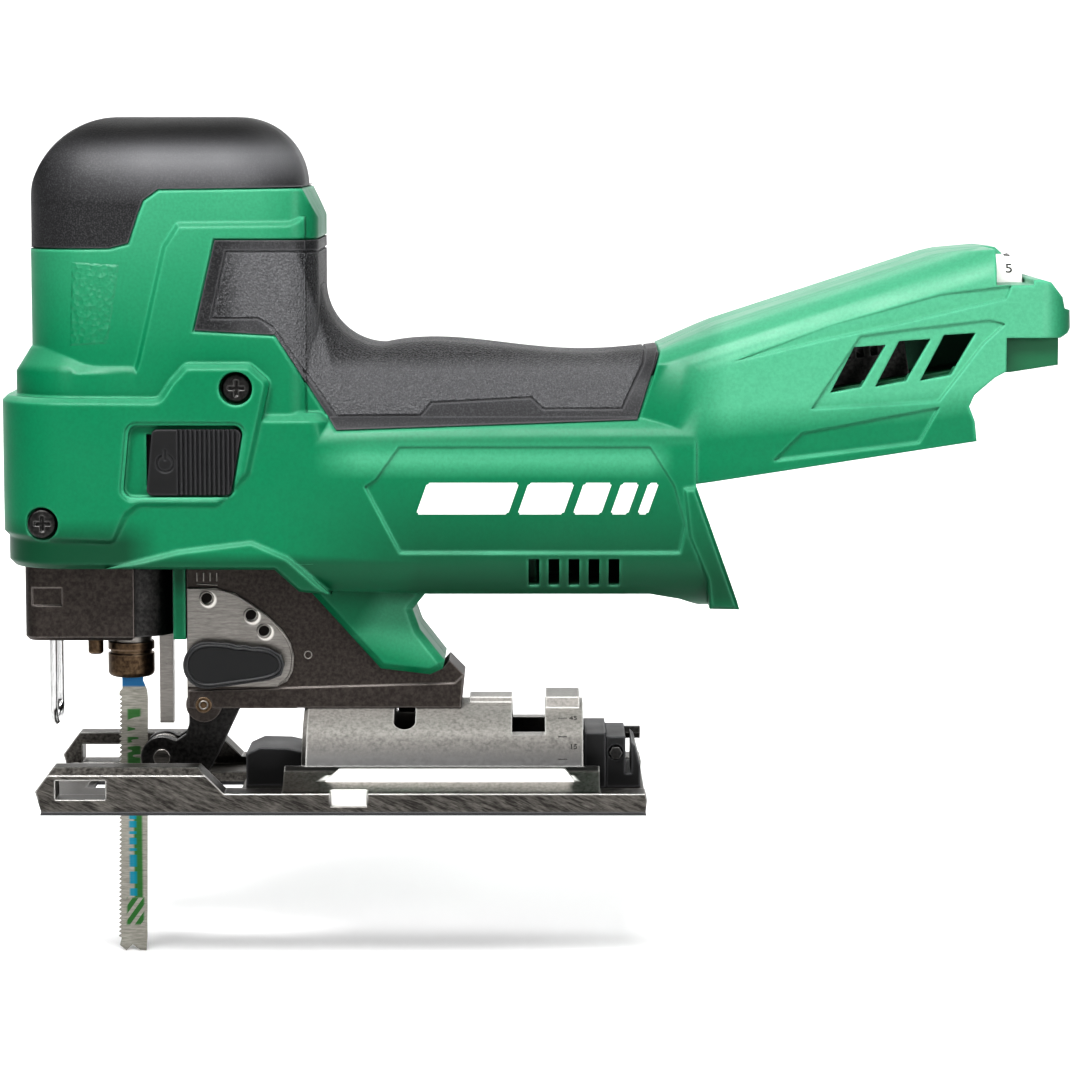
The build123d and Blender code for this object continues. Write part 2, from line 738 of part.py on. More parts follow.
with BuildPart() as plunger_bushings:
    add(ring_z(9.0, PLUNGER_R + 0.05, 72.5, 80))
    add(ring_z(9.0, PLUNGER_R + 0.05, 148, 156))
save(plunger_bushings.part, "plunger_bushings")

with BuildPart() as spindle_cover:
    add(ring_z(12.9, 9.2, 47.6, 72.5))
    add(box(8.0, 13.2, -3.3, 3.3, 46, 68), mode=Mode.SUBTRACT)
save(spindle_cover.part, "spindle_cover")

with BuildPart() as release_peg:
    add(rod_z(2.2, 41.9, 47.6, -9.75, -5.0))
    chamfer(release_peg.faces().sort_by(Axis.Z)[0].edges(), length=0.5)
save(release_peg.part, "release_peg")


# ----------------------------------------------------------------------- motor
with BuildPart() as stator:
    add(ring_x(23.0, 13.0, 74, 124, MOTOR_Z))
save(stator.part, "stator")

with BuildPart() as windings:
    add(ring_x(21.0, 14.0, 67, 74, MOTOR_Z))
    add(ring_x(21.0, 14.0, 124, 130, MOTOR_Z))
save(windings.part, "windings")

with BuildPart() as motor_bearings:
    add(ring_x(8.0, 3.05, 47, 52, MOTOR_Z))
    add(ring_x(8.0, 3.05, 142, 148, MOTOR_Z))
save(motor_bearings.part, "motor_bearings")

with BuildPart() as rotor_shaft:
    add(rod_x(1.5, 36, 47, 0, MOTOR_Z))
    add(rod_x(3.0, 47, 149, 0, MOTOR_Z))
save(rotor_shaft.part, "rotor_shaft")

with BuildPart() as rotor_core:
    add(ring_x(12.4, 3.0, 76, 122, MOTOR_Z))
save(rotor_core.part, "rotor_core")

with BuildPart() as cooling_fan:
    add(ring_x(6.0, 3.0, 132, 139, MOTOR_Z))
    add(ring_x(20.0, 5.0, 132, 133.2, MOTOR_Z))
    for i in range(11):
        blade_plane = Plane.YZ.offset(133.0)
        with BuildSketch(blade_plane):
            with Locations((0, MOTOR_Z)):
                with PolarLocations(13.0, 1, start_angle=i * 360 / 11):
                    Rectangle(13.5, 1.0, rotation=18)
        extrude(amount=6.0)
save(cooling_fan.part, "cooling_fan")


def toothed_wheel(x0, x1, z, teeth, tip, root, bore):
    """Spur wheel along X with short straight teeth."""
    points = []
    step = 2 * math.pi / teeth
    for i in range(teeth):
        for share, radius in ((-0.32, root), (-0.16, tip), (0.16, tip), (0.32, root)):
            angle = (i + share) * step
            points.append((radius * math.cos(angle), z + radius * math.sin(angle)))
    with BuildPart() as wheel:
        with BuildSketch(Plane.YZ.offset(x0)):
            with BuildLine():
                Polyline(*points, close=True)
            make_face()
            with Locations((0, z)):
                Circle(bore, mode=Mode.SUBTRACT)
        extrude(amount=x1 - x0)
    return wheel.part


with BuildPart() as pinion:
    add(toothed_wheel(38.5, 46.5, MOTOR_Z, 9, PINION_TIP, 2.5, 1.5))
save(pinion.part, "pinion")

CRANK_WHEEL = toothed_wheel(GEAR_X0, GEAR_X1, GEAR_Z, 60, GEAR_TIP, 21.4, 5.05)

with BuildPart() as crank_gear:
    add(CRANK_WHEEL)
    add(rod_x(PIN_R, 10, GEAR_X0 + 1, CRANK, GEAR_Z))
    for angle in (60, 120, 240, 300):
        lever_arm = math.radians(angle + 90)
        hole_y = 13.5 * math.cos(lever_arm)
        hole_z = GEAR_Z + 13.5 * math.sin(lever_arm)
        add(rod_x(3.4, 30, 50, hole_y, hole_z), mode=Mode.SUBTRACT)
save(crank_gear.part, "crank_gear")

with BuildPart() as gear_shaft:
    add(rod_x(5.0, 36.5, 52, 0, GEAR_Z))
save(gear_shaft.part, "gear_shaft")

with BuildPart() as crank_roller:
    with BuildSketch(Plane.YZ.offset(10)):
        with Locations((CRANK, GEAR_Z)):
            Circle(CRANK_ROLLER_R)
            Circle(PIN_R, mode=Mode.SUBTRACT)
    extrude(amount=6.5)
save(crank_roller.part, "crank_roller")


# --------------------------------------------------------------------- plunger
TANG_SLOT = box(-2.85, 3.4, -0.65, 0.65, 30, 51)

with BuildPart() as plunger:
    add(rod_z(PLUNGER_R, HOLDER_Z1, 171))
    add(TANG_SLOT, mode=Mode.SUBTRACT)
save(plunger.part, "plunger")

with BuildPart() as yoke:
    add(box(9.0, 17.0, -21.5, 21.5, GEAR_Z - 12, GEAR_Z + 12))
    add(box(3.5, 9.0, -5.0, 5.0, GEAR_Z - 8, GEAR_Z + 8))
    with BuildSketch(Plane.YZ.offset(8)):
        with Locations((0, GEAR_Z)):
            Rectangle(2 * (CRANK + CRANK_ROLLER_R + 0.6), 2 * (CRANK_ROLLER_R + YOKE_SLACK))
    extrude(amount=10, mode=Mode.SUBTRACT)
    add(rod_z(PLUNGER_R, 100, 140), mode=Mode.SUBTRACT)
save(yoke.part, "yoke")

with BuildPart() as blade_holder:
    add(rod_z(HOLDER_R, HOLDER_Z0, HOLDER_Z1))
    fillet(blade_holder.faces().sort_by(Axis.Z)[0].edges(), radius=1.6)
    add(ring_z(HOLDER_R + 1, HOLDER_R - 0.7, 41.6, 42.8), mode=Mode.SUBTRACT)
    add(TANG_SLOT, mode=Mode.SUBTRACT)
save(blade_holder.part, "blade_holder")


def blade_outline():
    """Side view of a T-shank blade with its teeth."""
    tooth_count = 56
    z_top = 29.0
    pitch = (z_top - BLADE_TIP - 3.0) / tooth_count
    points = [(-2.75, 50.0), (-2.75, 31.0), (-3.6, 30.0)]
    for i in range(tooth_count):
        z = z_top - i * pitch
        lean = -1.0 * i / tooth_count
        points.append((BLADE_FRONT - 0.15 + lean, z))
        points.append((BLADE_FRONT + 0.7 + lean, z - 0.4 * pitch))
    points += [(-4.3, BLADE_TIP + 1.6), (-2.4, BLADE_TIP), (-0.6, BLADE_TIP + 1.8),
               (1.6, BLADE_TIP + 0.2), (3.4, BLADE_TIP), (3.7, BLADE_TIP + 4),
               (BLADE_BACK, 28.0), (BLADE_BACK - 0.2, 30.4), (3.3, 33.2), (3.3, 50.0)]
    return points


with BuildPart() as blade:
    add(side_prism(blade_outline(), BLADE_T / 2))
save(blade.part, "blade")


# ----------------------------------------------------- front lever, wire guard
with BuildPart() as release_lever:
    with BuildSketch(Plane.XY.offset(46.9)):
        with Locations(((-29.2 + 2.5) / 2, 0)):
            Rectangle(31.7, 30)
        fillet(vertices().group_by(Axis.X)[0], radius=5)
    extrude(amount=21.7)
    chamfer(release_lever.faces().sort_by(Axis.Z)[0].edges(), length=1.0)
    add(rod_z(13.3, 40, 72), mode=Mode.SUBTRACT)
    for side in (-1, 1):
        add(rod_z(1.1, 40, 56, -21.7, side * 8), mode=Mode.SUBTRACT)
        with Locations((-22.5, side * 15, 59.6)):
            Box(8.6, 2.4, 5.2, mode=Mode.SUBTRACT)
save(release_lever.part, "release_lever")

with BuildPart() as wire_guard:
    with BuildLine() as guard_path:
        FilletPolyline((-21.7, -8, 56), (-21.7, -8, 22), (-21.7, 8, 22), (-21.7, 8, 56), radius=5)
    with BuildSketch(Plane.XY.offset(56)):
        with Locations((-21.7, -8)):
            Circle(1.1)
    sweep()
save(wire_guard.part, "wire_guard")


# ---------------------------------------------------- roller guide and selector
ARM_OUTLINE = [(9.2, 17.6), (13.4, 16.6), (16.2, 18.4), (17.2, 21.5), (17.2, 27), (21.7, 32),
               (26, 29.5), (31.6, 25.3), (28.3, 18.4), (24.9, 11), (22.6, 7.0), (14, 6.3),
               (9.2, 5.6)]

with BuildPart() as roller_arm:
    add(side_prism(ARM_OUTLINE, 6.4))
    add(rod_y(6.1, -6.4, 6.4, ROLLER_X, ROLLER_Z))
    add(rod_y(4.6, -6.4, 6.4, PIVOT_X, PIVOT_Z))
    add(box(0, 16.4, -3.5, 3.5, 0, 22), mode=Mode.SUBTRACT)
    add(rod_y(2.45, -8, 8, ROLLER_X, ROLLER_Z), mode=Mode.SUBTRACT)
    add(rod_y(2.4, -8, 8, PIVOT_X, PIVOT_Z), mode=Mode.SUBTRACT)
save(roller_arm.part, "roller_arm")

with BuildPart() as roller_pin:
    add(rod_y(2.45, -6.9, 6.9, ROLLER_X, ROLLER_Z))
save(roller_pin.part, "roller_pin")

with BuildPart() as guide_roller:
    add(rod_y(5.7, -3.2, 3.2, ROLLER_X, ROLLER_Z))
    with BuildSketch(Plane.XZ.offset(-0.9)):
        with Locations((ROLLER_X, ROLLER_Z)):
            Circle(7)
            Circle(4.4, mode=Mode.SUBTRACT)
    extrude(amount=1.8, mode=Mode.SUBTRACT)
    add(rod_y(2.5, -4, 4, ROLLER_X, ROLLER_Z), mode=Mode.SUBTRACT)
save(guide_roller.part, "guide_roller")

with BuildPart() as arm_pin:
    add(rod_y(2.35, -10.0, 10.0, PIVOT_X, PIVOT_Z))
save(arm_pin.part, "arm_pin")

with BuildPart() as push_rod:
    add(box(8.4, 12.4, -2.6, 2.6, 21.2, 66))
save(push_rod.part, "push_rod")

DETENT_OUTLINE = [(17.2, 61.6), (25.4, 61.6), (31, 60), (35.8, 57.0), (40.6, 53.4), (44.6, 49.4),
                  (47, 45.6), (48, 41.6), (47.6, 37.4), (46, 34.4), (43, 32.8), (17.2, 32.8)]

with BuildPart() as detent_plate:
    add(side_prism(DETENT_OUTLINE, 0.4, -BRACKET_HALF - 0.4))
    for angle in (90, 48, 30, 4):
        turn = math.radians(angle)
        x = LEVER_X + 19 * math.cos(turn)
        z = LEVER_Z + 19 * math.sin(turn)
        add(rod_y(1.7, -10, -9.35, x, z), mode=Mode.SUBTRACT)
    add(rod_y(3.05, -11, -8, LEVER_X, LEVER_Z), mode=Mode.SUBTRACT)
save(detent_plate.part, "detent_plate")

LEVER_OUTLINE = [(23, 46.3), (30, 45.9), (32, 45.2), (34, 45.5), (36, 44.8), (38, 45.0),
                 (41, 44.4), (44.4, 42.6), (45.4, 39.6), (44.4, 36.6), (41, 35.2), (30, 33.6),
                 (23, 32.7)]

with BuildPart() as selector_lever:
    add(side_prism(LEVER_OUTLINE, 1.6, -11.6))
    add(rod_y(6.8, -13.2, -10.0, LEVER_X, LEVER_Z))
    add(rod_y(3.0, -10.0, 8.6, LEVER_X, LEVER_Z))
save(selector_lever.part, "selector_lever")


# ------------------------------------------------------------------------ base
EDGE_OUTLINE = [(-22.1, SOLE_T), (-23.8, 6.8), (-18.8, 13.5), (22.4, 13.5), (29.7, 6.2),
                (148.9, 6.2), (149.3, 4.5), (148.9, SOLE_T)]
FLOOR_OUTLINE = [(-22.1, SOLE_T), (-22.6, 3.6), (-21, 4.0), (149.0, 4.0), (148.9, SOLE_T)]


def rim_blocks():
    """Raised edges on both sides of the base."""
    shapes = [side_prism(EDGE_OUTLINE, (BASE_HALF - WALL_IN) / 2, side * (BASE_HALF + WALL_IN) / 2)
              for side in (-1, 1)]
    with BuildPart() as rims:
        for shape in shapes:
            add(shape)
        top_edges = rims.edges().filter_by(
            lambda edge: abs(abs(edge.center().Y) - BASE_HALF) < 0.01 and edge.center().Z > 12)
        chamfer(top_edges, length=2.2)
    return rims.part


def flank_slopes():
    """Sloped shoulders from the rims up to the barrel."""
    with BuildPart() as slopes:
        for side in (-1, 1):
            with BuildSketch(Plane.YZ.offset(46)):
                with BuildLine():
                    Polyline((side * 36.9, 3), (side * 36.9, 6.2), (side * 25.4, 12.0),
                             (side * 23.5, 12.0), (side * 23.5, 3), close=True)
                make_face()
            extrude(amount=90)
    return slopes.part


def flank_bars():
    """Milled bars that stand on the sloped shoulders."""
    outline = [(56.4, 7.5), (129.8, 7.5), (126, 12.6), (62.3, 12.6)]
    with BuildPart() as bars:
        for side in (-1, 1):
            add(side_prism(outline, 1.3, side * 30.4))
        chamfer(bars.faces().sort_by(Axis.Z)[-2:].edges(), length=0.5)
    return bars.part


def barrel():
    """Half barrel that the bracket's saddle sits on."""
    with BuildPart() as tube:
        add(rod_x(BARREL_R, BARREL_X0, BARREL_X1))
        chamfer(tube.faces().sort_by(Axis.X)[0].edges(), length=1.4)
        add(box(120.6, 130.4, -9, 9, 20, 29.8))
        add(box(98.6, 111, -5, 5, 20, 29.2))
    return tube.part


def bolt_slot():
    """Arc slot for the clamp bolt, cut through the barrel wall."""
    with BuildPart() as slot:
        for angle in range(-60, 36, 3):
            turn = math.radians(angle)
            radial = Plane(origin=(BOLT_X, -20 * math.sin(turn), 20 * math.cos(turn)),
                           x_dir=(1, 0, 0),
                           z_dir=(0, -math.sin(turn), math.cos(turn)))
            with BuildSketch(radial):
                Circle(3.1)
            extrude(amount=12)
    return slot.part


RIMS = rim_blocks()
SLOPES = flank_slopes()
BARS = flank_bars()
BARREL = barrel()
HOLLOW = rod_x(BARREL_R - 3.5, BARREL_X0 - 5, BARREL_X1 + 10)
FLOOR = side_prism(FLOOR_OUTLINE, BASE_HALF - 0.2)
BOLT_SLOT = bolt_slot()
BLADE_SLOT = box(-12, 33, -SLOT_HALF, SLOT_HALF, -5, 30)
ACCESS = box(73, 87, 1.0, 24.3, -5, 4.5)

with BuildPart() as base_plate:
    add(BARREL)
    add(SLOPES)
    add(HOLLOW, mode=Mode.SUBTRACT)
    add(FLOOR)
    add(RIMS)
    add(BARS)
    add(box(-30, 160, -40, 40, -40, SOLE_T), mode=Mode.SUBTRACT)
    add(BLADE_SLOT, mode=Mode.SUBTRACT)
    add(ACCESS, mode=Mode.SUBTRACT)
    add(BOLT_SLOT, mode=Mode.SUBTRACT)
    add(box(111, 120.4, -20, 20, 20.3, 32), mode=Mode.SUBTRACT)
    add(box(-18, -3.9, -50, 50, 4.5, 9.9), mode=Mode.SUBTRACT)
    for side in (-1, 1):
        add(box(59.7, 70.1, side * 37 - 1.6, side * 37 + 1.6, 2.5, 9.3), mode=Mode.SUBTRACT)
save(base_plate.part, "base_plate")

with BuildPart() as sole_cover:
    add(side_prism([(-22.4, 0), (-22.1, SOLE_T), (148.9, SOLE_T), (149.1, 0)], BASE_HALF))
    add(BLADE_SLOT, mode=Mode.SUBTRACT)
    add(ACCESS, mode=Mode.SUBTRACT)
save(sole_cover.part, "sole_cover")

with BuildPart() as clamp_plate:
    add(rod_x(BARREL_R - 3.85, 70, 92))
    add(box(69, 93, -0.5, 12.5, 19.5, 30), mode=Mode.INTERSECT)
    add(rod_z(2.52, 15, 30, BOLT_X, BOLT_Y), mode=Mode.SUBTRACT)
save(clamp_plate.part, "clamp_plate")

with BuildPart() as clamp_bolt:
    add(rod_z(4.2, 14.6, 19.5, BOLT_X, BOLT_Y))
    add(rod_z(2.5, 19.5, 36, BOLT_X, BOLT_Y))
    with BuildSketch(Plane.XY.offset(14.6)):
        with Locations((BOLT_X, BOLT_Y)):
            RegularPolygon(2.3, 6)
    extrude(amount=2.6, mode=Mode.SUBTRACT)
save(clamp_bolt.part, "clamp_bolt")

with BuildPart() as dust_duct:
    add(side_prism([(34, 4), (34, 13.4), (38, 15.2), (46, 15.0), (52, 13.6), (64, 13.6),
                    (66, 8.5), (96, 8.5), (100, 16), (138, 17), (138, 4)], 11))
    add(side_prism([(33, 5.4), (33, 12), (46, 13.4), (62, 12.0), (65, 7.2), (97, 7.2),
                    (101, 14.4), (139, 15.6), (139, 5.4)], 9.4), mode=Mode.SUBTRACT)
    add(box(65, 97, 0.6, 12, 3, 18), mode=Mode.SUBTRACT)
    add(box(65, 97, -0.8, 0.6, 4, 8.5))
    add(box(131.8, 138, -14, 14, 4, 20))
    add(box(131, 139, -8.5, 8.5, 5.4, 15.6), mode=Mode.SUBTRACT)
save(dust_duct.part, "dust_duct")

with BuildPart() as key_clip:
    add(side_prism([(138.1, 4), (138.1, 18.8), (143.4, 18.8), (146.5, 16), (148, 10), (148, 4)], 13))
    add(rod_y(2.1, -20, 20, 140.9, 14.2), mode=Mode.SUBTRACT)
    add(box(143.7, 145.4, -20, 20, 8, 20), mode=Mode.SUBTRACT)
save(key_clip.part, "key_clip")

with BuildPart() as hex_key:
    with BuildSketch(Plane.XZ.offset(14.5)):
        with Locations((140.9, 14.2)):
            RegularPolygon(2.0, 6)
    extrude(amount=-41)
    with BuildSketch(Plane.YZ.offset(139.2)):
        with Locations((24.8, 14.2)):
            RegularPolygon(2.0, 6)
    extrude(amount=9.6)
save(hex_key.part, "hex_key")


# -------------------------------------------------------- switch, dial, battery
def power_icon():
    """Open ring with an upright stroke, as sketched on the slider."""
    with BuildSketch() as icon:
        with Locations((13.6, 99.6)):
            Circle(2.6)
            Circle(2.05, mode=Mode.SUBTRACT)
        with Locations((13.6, 102)):
            Rectangle(1.9, 2, mode=Mode.SUBTRACT)
            Rectangle(0.6, 3)
    return icon.sketch


def slider():
    """Ribbed switch slider of the near flank, with its stem and guide plate."""
    outline = [(10.0, 109.2), (8.2, 90.6), (31.9, 90.6), (35.3, 109.2)]
    with BuildPart() as knob:
        add(side_prism(outline, (BUTTON_OUT - BUTTON_IN) / 2, -(BUTTON_IN + BUTTON_OUT) / 2))
        fillet(knob.edges().filter_by(Axis.Y), radius=1.6)
        add(box(14.2, 30, -BUTTON_IN, -27, 93, 107))
        add(box(-4, 48, -27.9, -26.6, 87.5, 110.3))
        for i in range(13):
            x = 17.2 + 1.32 * i
            add(box(x, x + 0.62, -BUTTON_OUT - 1, 0.8 - BUTTON_OUT, 88, 111), mode=Mode.SUBTRACT)
        with BuildSketch(Plane.XZ.offset(BUTTON_OUT - 0.35)):
            add(power_icon())
        extrude(amount=1, mode=Mode.SUBTRACT)
    return knob.part


with BuildPart() as slider_left:
    add(slider())
save(slider_left.part, "slider_left")

with BuildPart() as slider_right:
    add(mirror(slider(), about=Plane.XZ))
save(slider_right.part, "slider_right")

with BuildPart() as slider_link:
    add(box(20, 24, -26.6, 26.6, 91, 96))
save(slider_link.part, "slider_link")

with BuildPart() as micro_switch:
    add(box(27, 35, -20, -9, 80, 88))
    add(box(25.5, 27, -16, -13, 82, 86))
save(micro_switch.part, "micro_switch")

with BuildPart() as speed_dial:
    add(rod_x(11.0, 247.5, 256.7, 0, 146.3))
    add(rod_x(1.95, 239.2, 258.5, 0, 146.3))
    with BuildSketch(Plane.YZ.offset(247.5)):
        with Locations((0, 146.3)):
            with PolarLocations(11.2, 24, start_angle=7.5):
                Circle(0.5)
    extrude(amount=2.0, mode=Mode.SUBTRACT)
save(speed_dial.part, "speed_dial")

with BuildPart() as dial_sensor:
    add(box(236, 244.5, -7, 7, 139, 152))
    add(rod_x(2.0, 239, 248, 0, 146.3), mode=Mode.SUBTRACT)
save(dial_sensor.part, "dial_sensor")

with BuildPart() as bay_plate:
    add(bay_block(-16.4, 84, -25.5, 25.5, -3.0, 0))
    add(box(249.9, 265.0, -27, 27, 124.9, 134.8))
    add(bay_block(40, 90, -30, 30, 0, 12), mode=Mode.SUBTRACT)
    add(box(160, 163.2, -30, 30, 80, 130), mode=Mode.SUBTRACT)
    add(box(265.0, 280, -30, 30, 80, 150), mode=Mode.SUBTRACT)
save(bay_plate.part, "bay_plate")

with BuildPart() as terminal_block:
    add(bay_block(-6, 30, -16, 16, 0, 8))
    for i in range(5):
        add(bay_block(-2, 31, -12.6 + 6 * i, -11.4 + 6 * i, 3.5, 9), mode=Mode.SUBTRACT)
save(terminal_block.part, "terminal_block")

with BuildPart() as contacts:
    for i in range(5):
        add(bay_block(0, 24, -12.4 + 6 * i, -11.6 + 6 * i, 3.5, 11.5))
save(contacts.part, "contacts")

with BuildPart() as controller:
    add(bay_block(4, 44, -18, 18, -13, -3))
    for i in range(9):
        add(bay_block(6 + 4 * i, 8 + 4 * i, -19, 19, -14, -10), mode=Mode.SUBTRACT)
save(controller.part, "controller")
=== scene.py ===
"""Studio scene of a cordless barrel-grip jigsaw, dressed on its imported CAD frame."""

import json
import math

import bmesh
import bpy
from mathutils import Matrix, Vector


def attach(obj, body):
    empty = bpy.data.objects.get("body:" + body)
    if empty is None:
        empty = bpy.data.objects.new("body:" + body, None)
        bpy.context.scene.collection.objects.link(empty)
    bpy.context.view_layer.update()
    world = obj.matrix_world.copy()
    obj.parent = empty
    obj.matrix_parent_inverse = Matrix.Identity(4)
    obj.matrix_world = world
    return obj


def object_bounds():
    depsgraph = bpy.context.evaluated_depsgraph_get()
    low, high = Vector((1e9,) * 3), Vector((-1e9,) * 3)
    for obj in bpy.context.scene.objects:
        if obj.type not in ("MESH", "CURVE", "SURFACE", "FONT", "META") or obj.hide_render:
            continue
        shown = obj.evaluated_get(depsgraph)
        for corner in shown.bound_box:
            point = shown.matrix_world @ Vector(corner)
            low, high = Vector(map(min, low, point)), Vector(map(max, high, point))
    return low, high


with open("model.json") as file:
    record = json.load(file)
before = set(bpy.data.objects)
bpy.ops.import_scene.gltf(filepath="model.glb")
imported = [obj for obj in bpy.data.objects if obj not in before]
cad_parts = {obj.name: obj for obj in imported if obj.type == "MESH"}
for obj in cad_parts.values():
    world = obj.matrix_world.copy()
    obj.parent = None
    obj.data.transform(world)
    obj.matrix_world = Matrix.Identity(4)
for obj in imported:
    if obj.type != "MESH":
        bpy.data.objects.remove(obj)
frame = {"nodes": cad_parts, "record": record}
CAD_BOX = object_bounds()
NODES = frame["nodes"]
MM = 0.001


# ------------------------------------------------------------ node shorthand
class Graph:
    """Builds one procedural material."""

    def __init__(self, name):
        self.material = bpy.data.materials.new(name)
        self.material.use_nodes = True
        self.tree = self.material.node_tree
        self.shader = self.tree.nodes["Principled BSDF"]
        self.coords = self.tree.nodes.new("ShaderNodeTexCoord").outputs["Object"]

    def node(self, kind, inputs=None, **settings):
        made = self.tree.nodes.new("ShaderNode" + kind)
        for key, value in settings.items():
            setattr(made, key, value)
        for key, value in (inputs or {}).items():
            self.plug(made.inputs[key], value)
        return made

    def plug(self, socket, value):
        if isinstance(value, bpy.types.NodeSocket):
            self.tree.links.new(value, socket)
        else:
            socket.default_value = value

    def noise(self, scale, detail=4.0, rough=0.55, vector=None, stretch=None):
        vector = vector or self.coords
        if stretch:
            vector = self.node("Mapping", {"Vector": vector, "Scale": stretch}).outputs["Vector"]
        inputs = {"Vector": vector, "Scale": scale, "Detail": detail, "Roughness": rough}
        return self.node("TexNoise", inputs).outputs["Fac"]

    def voronoi(self, scale):
        inputs = {"Vector": self.coords, "Scale": scale}
        return self.node("TexVoronoi", inputs).outputs["Distance"]

    def span(self, value, low, high, to_low=0.0, to_high=1.0):
        inputs = {"Value": value, "From Min": low, "From Max": high,
                  "To Min": to_low, "To Max": to_high}
        return self.node("MapRange", inputs).outputs["Result"]

    def math(self, operation, a, b=0.0):
        return self.node("Math", {0: a, 1: b}, operation=operation).outputs[0]

    def mix(self, factor, a, b):
        made = self.node("Mix", data_type="RGBA")
        self.plug(made.inputs[0], factor)
        self.plug(made.inputs[6], a)
        self.plug(made.inputs[7], b)
        return made.outputs[2]

    def axis(self, name):
        return self.node("SeparateXYZ", {0: self.coords}).outputs[name]

    def bump(self, height, strength, distance, normal):
        inputs = {"Height": height, "Strength": strength, "Distance": distance, "Normal": normal}
        return self.node("Bump", inputs).outputs["Normal"]

    def times(self, *factors):
        """Product of masks."""
        product = factors[0]
        for factor in factors[1:]:
            product = self.math("MULTIPLY", product, factor)
        return product

    def most(self, *masks):
        """Largest of several masks."""
        largest = masks[0]
        for mask in masks[1:]:
            largest = self.math("MAXIMUM", largest, mask)
        return largest

    def rotated(self, angle):
        """Object coordinates turned about Y, for slanting marks."""
        inputs = {"Vector": self.coords, "Rotation": (0, angle, 0)}
        return self.node("Mapping", inputs).outputs["Vector"]

    def soft_edges(self, radius):
        return self.node("Bevel", {"Radius": radius}, samples=6).outputs["Normal"]

    def edge_mask(self, radius, low=0.004, high=0.09):
        """One along edges and zero on faces, from how far a bevelled normal leans."""
        rounded = self.soft_edges(radius)
        true = self.node("NewGeometry").outputs["Normal"]
        lean = self.node("VectorMath", {0: rounded, 1: true}, operation="DOT_PRODUCT")
        return self.span(self.math("SUBTRACT", 1.0, lean.outputs["Value"]), low, high)

    def field(self, outline, soft=0.0003):
        """One inside a convex XZ outline, given anticlockwise in mm, and zero outside."""
        inside = None
        for (x0, z0), (x1, z1) in zip(outline, outline[1:] + outline[:1]):
            run = Vector((x1 - x0, z1 - z0)).normalized()
            across = (-run.y, 0.0, run.x)
            reach = (across[0] * x0 + across[2] * z0) * MM
            made = self.node("VectorMath", {0: self.coords, 1: across}, operation="DOT_PRODUCT")
            depth = self.math("SUBTRACT", made.outputs["Value"], reach)
            inside = depth if inside is None else self.math("MINIMUM", inside, depth)
        return self.span(inside, -soft, soft)

    def finish(self, colour, rough, normal=None, metallic=0.0, **sockets):
        self.plug(self.shader.inputs["Base Color"], colour)
        self.plug(self.shader.inputs["Roughness"], rough)
        self.plug(self.shader.inputs["Metallic"], metallic)
        if normal is not None:
            self.plug(self.shader.inputs["Normal"], normal)
        if metallic == 0.0:
            self.shader.inputs["Specular IOR Level"].default_value = 0.4
        for key, value in sockets.items():
            self.shader.inputs[key.replace("_", " ")].default_value = value
        return self.material


def rgb(red, green, blue):
    """Linear colour from 0-255 display values."""
    def linear(v):
        v /= 255
        return v / 12.92 if v <= 0.04045 else ((v + 0.055) / 1.055) ** 2.4
    return (linear(red), linear(green), linear(blue), 1.0)


# ------------------------------------------------------------------ materials
GRAIN_DEPTH = 0.00006      # relief of moulded and cast skins, m
SCRATCH_DEPTH = 0.00008    # relief of ground and milled faces, m
HEAD_PATCH = [(-13.2, 132.7), (-2.8, 133.3), (0.6, 154.9), (-12.3, 155.7)]
# Outlines in mm of the painted light on the tail and on the leg
TAIL_LIT = [(158, 109), (190, 110.5), (231, 116), (265, 119), (265, 170), (158, 170)]
LEG_LIT = [(66, 48), (98, 38), (98, 60), (74, 60)]
LEVER_HUB = (23.0, 39.5)   # axis of the orbit selector, mm
DETENT_ARM = 19.0          # distance of the detents from that axis
DETENT_ANGLES = (90, 48, 30, 4)


def detent_centres():
    """Middles of the selector's four detents in the XZ plane, mm."""
    turns = [math.radians(angle) for angle in DETENT_ANGLES]
    return [(LEVER_HUB[0] + DETENT_ARM * math.cos(turn), LEVER_HUB[1] + DETENT_ARM * math.sin(turn))
            for turn in turns]


def moulded(name, colour, shade, rough=0.4, grain=900, edge=None):
    """Satin moulded plastic with a fine spark-eroded grain; given an edge colour, its edges are
    lightened partly by rubbing and partly as a painted highlight.
    """
    g = Graph(name)
    tone = g.mix(g.span(g.noise(14, 3), 0.35, 0.7), colour, shade)
    speck = g.span(g.noise(grain * 1.3, 2), 0.35, 0.7, 0.0, 0.12)
    tone = g.mix(speck, tone, shade)
    # Lighter edges: rubbing and a painted highlight.
    if edge:
        tone = g.mix(g.times(g.edge_mask(0.0012), 0.55), tone, edge)
    marks = g.span(g.noise(60, 6), 0.3, 0.75, rough - 0.05, rough + 0.08)
    normal = g.bump(g.noise(grain, 2), 0.25, GRAIN_DEPTH, g.soft_edges(0.0007))
    return g.finish(tone, marks, normal)


def deep_tone(g, x, z):
    """Mask of shade painted into the green along the belly, its sill and the chin under the belt.
    """
    belly = g.times(g.span(z, 0.066, 0.1, 0.9, 0), g.span(z, 0.05, 0.062),
                    g.span(x, 0.045, 0.085))
    sill = g.times(g.span(z, 0.0745, 0.0715, 0, 0.75), g.span(z, 0.058, 0.064))
    chin = g.times(g.span(z, 0.084, 0.077, 0, 0.9), g.span(x, 0.012, 0.002))
    return g.most(belly, sill, chin)


